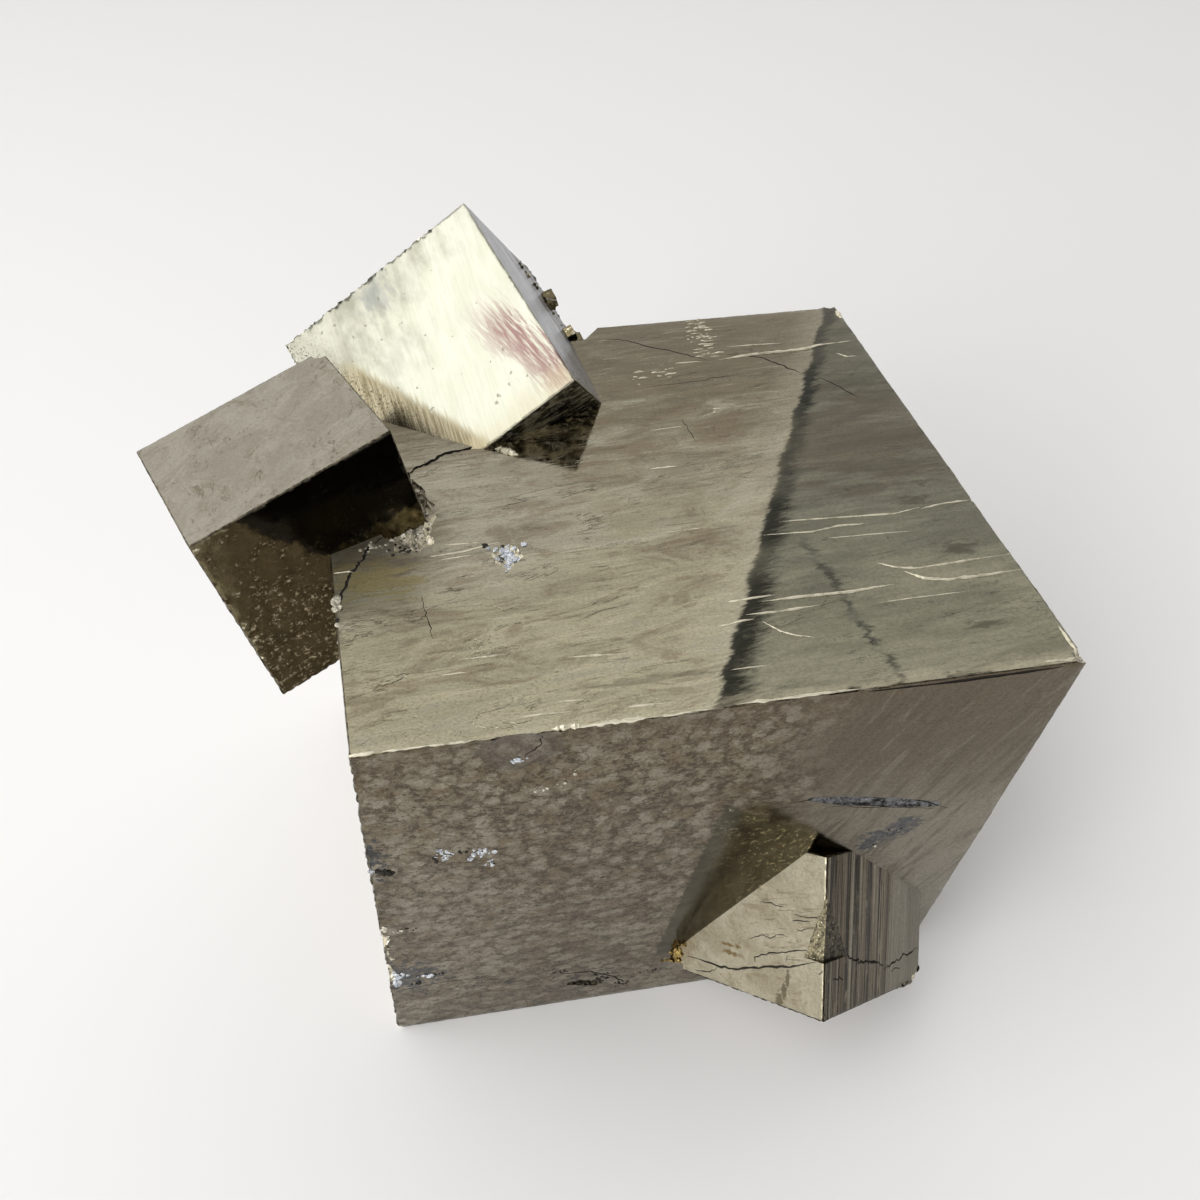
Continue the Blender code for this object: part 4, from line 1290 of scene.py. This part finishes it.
# %% Cracks of the main crystal, in millimetres on its top and front
# Each crack is a route of points on its face, and a width.
FOOT_CRACKS = (
    (((-25.4, -13.4), (-25.2, -11.8), (-24.6, -10.0), (-23.9, -8.7), (-23.3, -7.9), (-22.9, -6.6),
      (-21.4, -5.2)), 0.30),
    (((-21.2, -5.2), (-20.2, -3.4), (-19.5, -1.0), (-19.0, 1.4), (-18.9, 3.6)), 0.80),
    (((-19.0, 3.2), (-18.0, 4.2), (-16.9, 4.6), (-15.8, 5.6), (-14.3, 6.1), (-12.1, 6.4),
      (-10.5, 5.9)), 0.38),
)
TOP_CRACKS = (
    (((4.0, 23.4), (6.2, 22.8), (8.0, 21.4), (11.5, 19.4), (14.6, 17.5)), 0.15),
    (((16.6, 18.4), (20.1, 17.3), (21.7, 15.7), (24.0, 13.5)), 0.18),
    (((24.9, 12.6), (26.5, 10.7), (28.3, 8.2)), 0.14),
    (((7.1, 13.7), (12.0, 14.0), (17.1, 14.6)), 0.09),
    (((-18.5, -13.3), (-18.3, -14.9), (-18.0, -16.5), (-17.7, -18.5)), 0.09),
    (((9.3, 7.8), (9.6, 5.5), (9.9, 3.8)), 0.09),
)
FRONT_CRACKS = (
    (((11.7, 38.2), (15.6, 38.3), (19.2, 37.4), (24.5, 35.4), (28.8, 33.0)), 0.20),
    (((16.3, 36.6), (19.5, 35.6), (24.0, 34.4), (28.6, 33.0)), 0.14),
    (((-26.5, 10.2), (-22.0, 10.6), (-16.0, 10.0)), 0.14),
    (((-9.4, 8.0), (-6.0, 7.6), (-3.6, 5.4), (-1.8, 2.6)), 0.30),
    # The last thread is a painted shadow: the soft dark arc under the scallop's rim.
    (((-9.9, 53.9), (-10.1, 52.4), (-11.4, 51.2)), 0.12),
)
BEFORE_FRONT = -32.0
# The gap is a thin groove under the top's front edge; its near-black finish is painted shadow under the
# overhang.
GAP = ((16.6, 54.15), (20.8, 54.05), (27.6, 54.05), (33.3, 54.15))


def on_face(start, direction):
    """Where a line from outside meets the main crystal, in metres. All sides count in millimetres."""
    hit, place, _, _ = pieces["main_crystal"].ray_cast(start * MM, direction)
    return place if hit else start * MM


def on_top(x, y):
    return on_face(Vector((x, y, TOP_Z + 1.0)), Vector((0, 0, -1)))


def on_front(x, z):
    return on_face(Vector((x, BEFORE_FRONT, z)), Vector((0, 1, 0)))


threads = threads_along(on_top, FOOT_CRACKS, 5)
threads += threads_along(on_top, TOP_CRACKS, 50)
threads += threads_along(on_front, FRONT_CRACKS, 70)
threads.append(thread(on_front, GAP, 0.42, 90, wander=0.03))
for piece in threads:
    dress(piece, "crack_and_shadow_dark")
cut(pieces["main_crystal"], threads, tangled=True)

# %% [markdown]
# ## Cut the front crystal
#
# The root behind the main crystal's face is taken away first, because nothing of it shows. The two
# nearest corners are chipped, a flat splinter has gone from each side of the edge between them, and
# thin cracks run over both faces from that edge.

# %% Hollows and cracks of the front crystal
FRONT_CHIPS = {
    "front_left_chip": ((0.0, 19.6, 0.4), (3.4, 3.4, 2.6), (0, 0, 0), 0.5, "broken_gold"),
    "front_right_chip": ((17.4, 0.2, 0.0), (2.8, 1.8, 1.6), (0, 0, 0), 0.4, "broken_face"),
}
WEDGES = (
    ((0.60, 2.60), "broken_olive"),
    ((4.4, 0.60), "broken_dark"),
)
WEDGE_FOOT, WEDGE_TIP, WEDGE_CUTS = 5.7, 13.4, 18
FRONT_ROOT_Y = -26.0
ROOT_ROOM = 80.0
FRONT_CRACKS_LEFT = (
    (((17.4, 1.7), (13.1, 1.8), (10.9, 2.1), (9.0, 2.8), (6.3, 3.7), (3.6, 4.5), (1.1, 5.6)), 0.24),
    (((8.4, 3.5), (8.4, 4.1), (7.5, 4.6), (5.1, 5.5), (2.7, 6.3), (1.7, 6.7)), 0.15),
    (((7.8, 10.0), (4.8, 10.1)), 0.11), (((3.7, 9.6), (1.8, 9.8), (0.7, 10.2)), 0.12),
    (((4.0, 8.9), (1.8, 9.4)), 0.12),
    (((3.4, 8.0), (1.8, 8.7)), 0.10),
    (((9.5, 5.6), (7.6, 6.6), (6.6, 6.5), (5.6, 7.1), (4.3, 7.3)), 0.11),
    (((4.3, 5.4), (4.6, 4.6)), 0.09), (((16.4, 0.5), (14.2, 0.9), (13.1, 1.8)), 0.11),
    (((0.7, 4.5), (0.2, 4.9)), 0.12),
)
FRONT_CRACKS_RIGHT = (
    (((3.8, 6.0), (5.1, 5.0), (7.0, 4.3), (8.6, 4.0), (10.9, 3.2)), 0.30),
    (((10.9, 2.8), (13.2, 3.0), (15.3, 3.4), (18.0, 3.4)), 0.22), (((12.3, 2.3), (14.6, 2.1)), 0.11),
    (((1.4, 3.9), (3.4, 3.5)), 0.16),
)


def wedge(reach, finish):
    """A four-sided point along the crystal's front edge, which takes a flat chip off each side of it."""
    leave_all()
    bpy.ops.mesh.primitive_cone_add(vertices=4, radius1=1.0, radius2=0.0, depth=WEDGE_TIP - WEDGE_FOOT)
    piece = bpy.context.object
    piece.scale = (*reach, 1.0)
    piece.location = (0.0, 0.0, (WEDGE_FOOT + WEDGE_TIP) / 2)
    settle(piece)
    edit_all(piece, "EDGE", bpy.ops.mesh.subdivide, number_cuts=WEDGE_CUTS)
    piece.matrix_world = own_frame("front_crystal")
    settle(piece)
    displace(piece, "VORONOI", 0.5 * MM, 0.10)
    return dress(piece, finish)


to_model = own_frame("front_crystal")


def on_left(back, up):
    return to_model @ Vector((0.0, back, up))


def on_right(along, up):
    return to_model @ Vector((along, 0.0, up))


def root_cutter():
    """The room behind the crystal's root, which ends just inside the main crystal's front face."""
    leave_all()
    corner = Vector(CRYSTALS["front_crystal"]["corner"])
    middle = Vector((corner.x, FRONT_ROOT_Y + ROOT_ROOM / 2, corner.z))
    bpy.ops.mesh.primitive_cube_add(size=ROOT_ROOM * MM, location=middle * MM)
    piece = bpy.context.object
    settle(piece)
    return dress(piece, "broken_dark")


cut(pieces["front_crystal"], [root_cutter()])
chips("front_crystal", FRONT_CHIPS, to_model)
for reach, finish in WEDGES:
    cut(pieces["front_crystal"], [wedge(reach, finish)], tangled=True)
threads = threads_along(on_left, FRONT_CRACKS_LEFT, 20, 0.10)
threads += threads_along(on_right, FRONT_CRACKS_RIGHT, 30, 0.22)
for piece in threads:
    dress(piece, "crack_and_shadow_dark")
cut(pieces["front_crystal"], threads, tangled=True)

# %% [markdown]
# ## Cut the left crystal
#
# One corner at the back is broken off. It is a single lump taken away from the block.

# %% The left crystal's chipped corner
chip = lump("left_chip", (-25.9, 11.9, 63.7), (3.0, 3.0, 2.0), crumple=0.4)
cut(pieces["left_crystal"], [dress(chip, "broken_face")])

# %% [markdown]
# ## Cream growth ledges
#
# Here and there the edge of a growth layer on top catches the light as a thin cream line; the cream colour
# is a painted highlight. Each line is a fine tapering thread, half sunk in the face. A broken cream rim runs
# along the front edge too, and a cluster of short flecks lies near the back edge, with the same painted
# highlight.

# %% Threads pressed into the top face
# Each ledge is a route of points on the top face, and a width.
LEDGES = (
    (((15.5, 17.5), (19.0, 17.9), (22.5, 18.0), (26.0, 18.1), (31.0, 18.4)), 0.36),
    (((10.6, 17.6), (13.6, 17.5)), 0.16), (((16.9, 19.8), (23.2, 19.6)), 0.14),
    (((4.5, 0.4), (7.3, 0.4)), 0.22),
    (((12.9, -10.8), (17.4, -11.1), (20.1, -10.7), (23.0, -10.8)), 0.20),
    (((14.8, -9.3), (20.4, -9.6), (25.7, -9.9), (28.4, -9.4)), 0.18),
    (((28.4, -9.6), (31.0, -9.2), (33.6, -9.1)), 0.20),
    (((22.0, -15.9), (23.4, -16.7), (25.2, -17.1), (28.0, -17.0), (31.3, -16.8), (34.4, -16.7)), 0.20),
    (((24.0, -17.3), (25.4, -18.4), (27.4, -18.9), (30.5, -18.9), (34.4, -18.7)), 0.30),
    (((10.6, -18.9), (14.9, -18.9), (18.5, -19.0), (22.6, -18.7)), 0.28),
    (((8.8, -20.2), (11.5, -20.3), (15.4, -20.1)), 0.22),
    (((7.2, -18.2), (9.6, -18.4), (11.9, -18.3)), 0.18),
    (((10.0, -21.2), (11.2, -22.5), (12.4, -23.2), (13.8, -23.6)), 0.14),
    (((6.2, -20.9), (9.4, -20.8)), 0.18), (((18.0, -12.1), (26.5, -12.4)), 0.10),
    (((20.4, -20.6), (28.8, -20.5)), 0.10),
    (((-15.6, -21.2), (-11.7, -21.2)), 0.20), (((-17.4, -22.6), (-15.2, -22.6)), 0.14),
    (((-6.9, -22.3), (-3.0, -22.6)), 0.20), (((-11.4, -27.8), (-7.4, -27.9)), 0.20),
    (((-8.6, -26.8), (-6.2, -26.9)), 0.14), (((-3.0, -28.2), (0.2, -28.3)), 0.20),
    (((6.0, -26.0), (9.2, -26.0)), 0.12),
    (((-17.4, -8.6), (-14.6, -8.5), (-11.0, -7.7)), 0.22), (((-16.6, -9.2), (-13.4, -9.0)), 0.12),
    (((-26.1, -9.4), (-24.1, -9.4)), 0.14),
    (((-16.0, -7.3), (-12.4, -7.5)), 0.12), (((3.4, -8.8), (8.2, -8.7)), 0.09),
    (((5.6, 6.4), (9.4, 6.6)), 0.09),
    (((28.4, 16.4), (29.4, 15.5), (30.5, 15.5)), 0.12),
)
RIMS = (
    (((-24.9, -29.45), (-22.6, -29.45)), 0.42), (((-22.2, -29.5), (-18.6, -29.5)), 0.24),
    (((-18.8, -29.5), (-15.0, -29.5)), 0.34),
    (((-9.2, -29.4), (-7.8, -29.4), (-6.5, -29.45)), 0.50),
    (((-7.2, -29.5), (-4.1, -29.5), (-1.2, -29.5)), 0.36),
    (((-1.4, -29.5), (3.8, -29.5)), 0.22), (((5.7, -29.5), (10.0, -29.5), (15.8, -29.5)), 0.26),
    (((31.6, -29.2), (34.6, -29.3)), 0.30), (((34.9, -29.0), (34.7, -27.4), (34.6, -25.6)), 0.26),
    (((-10.2, 5.9), (-9.2, 5.3), (-8.0, 4.5)), 0.80),
    (((31.0, 24.6), (31.2, 23.0)), 0.50),
)
FLECK_SPOTS = (
    ((14.2, 22.4), (1.3, 4.2), 58), ((7.6, 15.6), (2.4, 1.2), 16), ((13.4, 8.6), (0.8, 0.4), 3),
)


EDGE_X, EDGE_Y, EDGE_RUN, EDGE_MARGIN = 31.2, 26.0, -0.074, 0.2


def fine_thread(route, width, seed, wander=0.02):
    return thread(on_top, route, width, seed, wander, steps=8, blunt=0.10, round_steps=2)


ledges = [fine_thread(route, width, 100 + n) for n, (route, width) in enumerate(LEDGES)]
ledges += [fine_thread(route, width, 200 + n, 0.04) for n, (route, width) in enumerate(RIMS)]
rng = random.Random(6)
for (x, y), (reach_x, reach_y), count in FLECK_SPOTS:
    for number in range(count):
        start = Vector((x + rng.uniform(-reach_x, reach_x), y + rng.uniform(-reach_y, reach_y)))
        edge = EDGE_X + EDGE_RUN * (start.y - EDGE_Y)
        if start.x > edge:
            start.x = edge - EDGE_MARGIN
        end = start + Vector((rng.uniform(0.2, 1.4), rng.uniform(-0.12, 0.12)))
        ledges.append(fine_thread((start, end), rng.uniform(0.07, 0.19), 300 + number))
pieces["growth_ledges"] = dress(join(ledges, "growth_ledges"), "cream_highlight")
print("growth ledges:", len(LEDGES) + len(RIMS) + sum(count for _, _, count in FLECK_SPOTS))

# %% [markdown]
# ## Grains of host rock
#
# White and bluish grains of the host rock still stick in a few pits. They are small crumpled lumps,
# scattered by a seeded random draw round the places where the specimen has them.

# %% Scatter the grains
# Face, middle of the spot, spread in two directions, number of grains and their size.
HOST_SPOTS = (
    ("top", (-10.7, -8.6), (1.6, 0.3), 18, 0.75), ("top", (-10.4, -9.5), (0.8, 0.7), 16, 0.75),
    ("top", (-10.6, -10.8), (0.3, 0.6), 9, 0.55),
    ("front", (-19.0, 37.6), (0.8, 0.7), 18, 0.55), ("front", (-15.8, 37.0), (1.1, 0.9), 18, 0.50),
    ("front", (-15.2, 35.0), (0.5, 0.9), 10, 0.45), ("front", (-12.0, 50.8), (1.0, 0.35), 9, 0.45),
    ("front", (-26.4, 39.4), (0.4, 1.0), 7, 0.8), ("front", (-25.8, 36.4), (0.9, 0.5), 7, 0.8),
    ("front", (-26.0, 13.6), (0.7, 0.8), 9, 1.0), ("front", (-23.4, 13.0), (0.9, 0.3), 6, 0.6),
)
# The pale grains round these spots are painted glints, where broken faces catch the light.
GLINT_SPOTS = (
    ("front", (-10.0, 46.0), (0.6, 0.3), 6, 0.45), ("front", (-8.4, 46.6), (0.4, 0.4), 4, 0.35),
    ("front", (-7.4, 47.8), (0.3, 0.4), 3, 0.30), ("front", (-26.2, 24.4), (0.4, 1.6), 9, 0.7),
    ("front", (-25.0, 24.0), (0.9, 0.25), 5, 0.45), ("front", (-26.4, 19.5), (0.2, 2.2), 9, 0.45),
    ("front", (14.8, 38.3), (0.8, 0.2), 4, 0.35), ("front", (22.6, 27.4), (0.3, 0.2), 2, 0.5),
    ("top", (-18.5, -3.4), (1.0, 3.0), 44, 0.90), ("top", (-22.4, -6.6), (1.6, 0.7), 18, 0.45),
    ("top", (-19.6, -5.6), (1.2, 0.6), 12, 0.60), ("top", (-25.8, -12.9), (0.2, 0.7), 6, 0.95),
    ("top", (-25.6, -15.8), (0.15, 1.4), 5, 0.45), ("top", (-11.0, 6.8), (1.0, 0.5), 8, 0.75),
)
PIT_SPOTS = (
    ("top", (-12.3, -8.0), (0.5, 0.2), 4, 0.5), ("front", (-20.0, 37.0), (0.2, 0.7), 5, 0.6),
    ("front", (-17.4, 37.4), (0.5, 0.3), 4, 0.5), ("front", (-24.6, 36.0), (0.9, 0.5), 6, 0.7),
    ("front", (-22.4, 12.8), (1.0, 0.3), 6, 0.5), ("front", (-24.6, 11.2), (0.8, 0.4), 6, 0.5),
    ("front", (-23.6, 24.0), (0.7, 0.3), 5, 0.5), ("front", (24.0, 29.9), (1.3, 0.7), 7, 0.30),
    ("front", (-4.6, 5.6), (1.3, 1.3), 18, 0.45), ("top", (-25.7, -15.4), (0.15, 1.4), 5, 0.5),
    ("front", (-2.4, 3.4), (0.8, 1.0), 12, 0.45), ("front", (1.4, 5.2), (2.6, 0.3), 10, 0.35),
    ("front", (-9.6, 8.6), (1.6, 0.25), 8, 0.35), ("top", (-19.9, -7.0), (1.3, 1.1), 20, 0.5),
)
GOLD_SPOTS = (
    ("front_left", (18.9, 1.6), (0.55, 0.9), 34, 0.65), ("front_left", (18.3, 2.8), (0.6, 0.5), 14, 0.45),
)
FLAT = 0.30
FACES_WITH_GRAINS = {
    "top": (on_top, (1, 1, FLAT)),
    "front": (on_front, (1, FLAT, 1)),
    "front_left": (on_left, (0.7, 1, 1)),
}


def scatter(name, spots, seed, finish):
    """Flat crumpled flakes and grains, half sunk in a face round each spot."""
    rng = random.Random(seed)
    grains = []
    for side, (u, v), (reach_u, reach_v), count, size in spots:
        place, thin = FACES_WITH_GRAINS[side]
        for _ in range(count):
            centre = place(u + rng.gauss(0, reach_u / 2), v + rng.gauss(0, reach_v / 2)) / MM
            grain = size * rng.uniform(0.4, 1.0)
            sizes = [grain * share * rng.uniform(0.7, 1.3) for share in thin]
            turn = [rng.uniform(-25, 25), rng.uniform(-25, 25), rng.uniform(-25, 25)]
            grains.append(lump("grain", centre, sizes, turn, grain * 0.30, 0.35, 2))
    return dress(join(grains, name), finish)


pieces["host_rock_grains"] = scatter("host_rock_grains", HOST_SPOTS, 8, "host_rock")
pieces["bright_grains"] = scatter("bright_grains", GLINT_SPOTS, 9, "chip_pale_and_glint")
pieces["dark_grains"] = scatter("dark_grains", PIT_SPOTS, 10, "crack_and_shadow_dark")
pieces["golden_grains"] = scatter("golden_grains", GOLD_SPOTS, 11, "broken_gold")
print("grains:", sum(spot[3] for spot in HOST_SPOTS + GLINT_SPOTS + PIT_SPOTS + GOLD_SPOTS))

# %% [markdown]
# ## Tiny crystals
#
# Each tiny cube starts as a cube primitive with worn, slightly shaken edges. It is turned at random
# about a slanting axis and sunk a little into the side that it stands on.

# %% Tiny crystals on the side of the upper crystal
# Two places along the side, size and turn of each cube.
SPECK_CUBES = (
    (17.9, 15.6, 1.5, 20.0), (17.0, 14.9, 1.1, 55.0), (12.2, 14.3, 1.3, 10.0), (11.5, 15.3, 1.5, 38.0),
    (12.9, 15.9, 0.9, 70.0),
)
SPECK_SINK = -0.2
SPECK_TUMBLE_AXIS = Vector((1.0, 1.0, 0.4))
RIM_GRAINS = 30
RIM_ALONG = (4.0, 22.0)
RIM_EDGE, RIM_MIDDLE, RIM_SLOPE, RIM_LIMIT = 16.0, 12.0, 0.02, 16.6
RIM_SPREAD = 1.6


def speck_cube(along, down, size, turn):
    leave_all()
    bpy.ops.mesh.primitive_cube_add(size=size * MM)
    piece = bpy.context.object
    edit_all(piece, "EDGE", bpy.ops.mesh.bevel, offset=0.05 * MM, segments=2, affect="EDGES")
    edit_all(piece, "EDGE", bpy.ops.mesh.subdivide, number_cuts=3)
    edit_all(piece, "VERT", bpy.ops.transform.vertex_random, offset=0.04 * MM, seed=int(turn))
    place = own_frame("upper_crystal") @ Vector((SPECK_SINK, along, down))
    own = turn_of("upper_crystal").to_matrix()
    tumble = Matrix.Rotation(math.radians(turn), 3, SPECK_TUMBLE_AXIS)
    piece.matrix_world = Matrix.Translation(place) @ (own @ tumble).to_4x4()
    return settle(piece)


specks = [speck_cube(*values) for values in SPECK_CUBES]
rng = random.Random(12)
for _ in range(RIM_GRAINS):
    along = rng.uniform(*RIM_ALONG)
    edge = RIM_EDGE * (1.0 - RIM_SLOPE * (along - RIM_MIDDLE))
    down = min(RIM_LIMIT, edge - abs(rng.gauss(0, RIM_SPREAD)))
    place = own_frame("upper_crystal") @ Vector((0.0, along, down)) / MM
    size = rng.uniform(0.25, 0.6)
    turn = (0, 0, rng.uniform(0, 90))
    specks.append(lump("rim_grain", place, (size, size, size), turn, size * 0.4, 0.3, 2))
pieces["speck_crystals"] = dress(join(specks, "speck_crystals"), "left_front")
print("tiny crystals:", len(SPECK_CUBES), "and rim grains:", RIM_GRAINS)

# %% [markdown]
# ## Finish the pieces and tie them to the model
#
# Shading is smooth within a face and sharp at the crystals' edges, and the grains are shaded flat. Every
# piece rides on the only body and stands for the imported solid.

# %% Smooth, ride, replace
SHARP_FROM = math.radians(28.0)
for name, piece in pieces.items():
    take(piece)
    if name.endswith("_grains"):
        bpy.ops.object.shade_flat()
    else:
        bpy.ops.object.shade_smooth_by_angle(angle=SHARP_FROM)
    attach(piece, BODY)
    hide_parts(NODE)
print("pieces:", sorted(pieces))

# %% [markdown]
# ## Floor
#
# The specimen stands on a plain pale floor, like a sheet of paper.

# %% Floor
leave_all()
bpy.ops.mesh.primitive_plane_add(size=6.0, location=(0, 0, 0))
floor = bpy.context.object
floor.name = "floor"
paper = bpy.data.materials.new("floor_paper")
paper.use_nodes = True
paper.node_tree.nodes["Principled BSDF"].inputs["Base Color"].default_value = (0.92, 0.92, 0.92, 1.0)
paper.node_tree.nodes["Principled BSDF"].inputs["Roughness"].default_value = 0.8
paper.node_tree.nodes["Principled BSDF"].inputs["Specular IOR Level"].default_value = 0.1
floor.data.materials.append(paper)
floor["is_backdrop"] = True
print("floor:", tuple(floor.dimensions))

# %% [markdown]
# ## Room and lamps
#
# Metal shows what is around it, so the room is part of the picture. It is evenly bright, with one
# darker side where a photographer would stand. A large soft lamp up on the left is mirrored in the
# upper crystal's face.

# %% Room
ROOM_LEVEL = 0.92
# Direction of the dark side, where the fade starts and ends, and the level there.
DARK_SIDE = ((0.46, -0.42, 0.72), 0.62, 0.90, 0.04)


def make_room():
    world = bpy.data.worlds.new("room")
    bpy.context.scene.world = world
    world.use_nodes = True
    tree = world.node_tree
    direction = tree.nodes.new("ShaderNodeTexCoord").outputs["Generated"]
    towards, start, full, level = DARK_SIDE
    dot = tree.nodes.new("ShaderNodeVectorMath")
    dot.operation = "DOT_PRODUCT"
    tree.links.new(direction, dot.inputs[0])
    dot.inputs[1].default_value = Vector(towards).normalized()
    fade = tree.nodes.new("ShaderNodeMapRange")
    fade.interpolation_type = "SMOOTHSTEP"
    tree.links.new(dot.outputs["Value"], fade.inputs["Value"])
    limits = {"From Min": start, "From Max": full, "To Min": ROOM_LEVEL, "To Max": level}
    for key, value in limits.items():
        fade.inputs[key].default_value = value
    background = tree.nodes["Background"]
    tree.links.new(fade.outputs[0], background.inputs["Strength"])
    background.inputs["Color"].default_value = (1.0, 0.985, 0.96, 1.0)


make_room()
print("room level:", ROOM_LEVEL, "and on the dark side:", DARK_SIDE[-1])

# %% Lamps
# Direction, distance and size in metres, and power in watts.
LAMPS = {
    "key_lamp": ((-0.58, -0.11, 0.82), 0.60, 0.42, 1.1),
    "fill_lamp": ((-0.70, -0.60, 0.40), 0.90, 0.50, 3.2),
}


def make_lamp(name, towards, distance, size, watts):
    middle = Vector((0, 0, 30 * MM))
    place = middle + Vector(towards).normalized() * distance
    leave_all()
    bpy.ops.object.light_add(type="AREA", location=place)
    lamp = bpy.context.object
    lamp.name = name
    lamp.data.shape = "SQUARE"
    lamp.data.size = size
    lamp.data.energy = watts
    lamp.rotation_euler = (place - middle).to_track_quat("Z", "Y").to_euler()


for name, values in LAMPS.items():
    make_lamp(name, *values)
print("lamps:", sorted(LAMPS))

# %% [markdown]
# ## Camera
#
# The place, the direction and the lens come from the fit of the blocks' corners and edges to the
# photograph.

# %% Camera
CAMERA_PLACE = Vector((-13.855, -80.668, 122.953)) * MM
CAMERA_RIGHT = Vector((0.98711, -0.16, 0.00351))
CAMERA_LOOK = Vector((0.11265, 0.67908, -0.72537))
CAMERA_LENS = 32.795
camera_data = bpy.data.cameras.new("photo_view")
camera_data.lens = CAMERA_LENS
camera_data.sensor_width = 36.0
camera_data.clip_start = 0.005
camera_data.clip_end = 20.0
camera = bpy.data.objects.new("photo_view", camera_data)
bpy.context.scene.collection.objects.link(camera)
camera_up = CAMERA_RIGHT.cross(CAMERA_LOOK)
axes = Matrix((CAMERA_RIGHT, camera_up, -CAMERA_LOOK)).transposed()
camera.matrix_world = Matrix.Translation(CAMERA_PLACE) @ axes.to_4x4()
bpy.context.scene.camera = camera
bpy.context.scene.view_settings.view_transform = "Standard"
print("camera lens:", camera_data.lens, "mm")

# %% Measure the visual box
low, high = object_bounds()
print("visual box in mm:", [round((b - a) / MM, 2) for a, b in zip(low, high)])
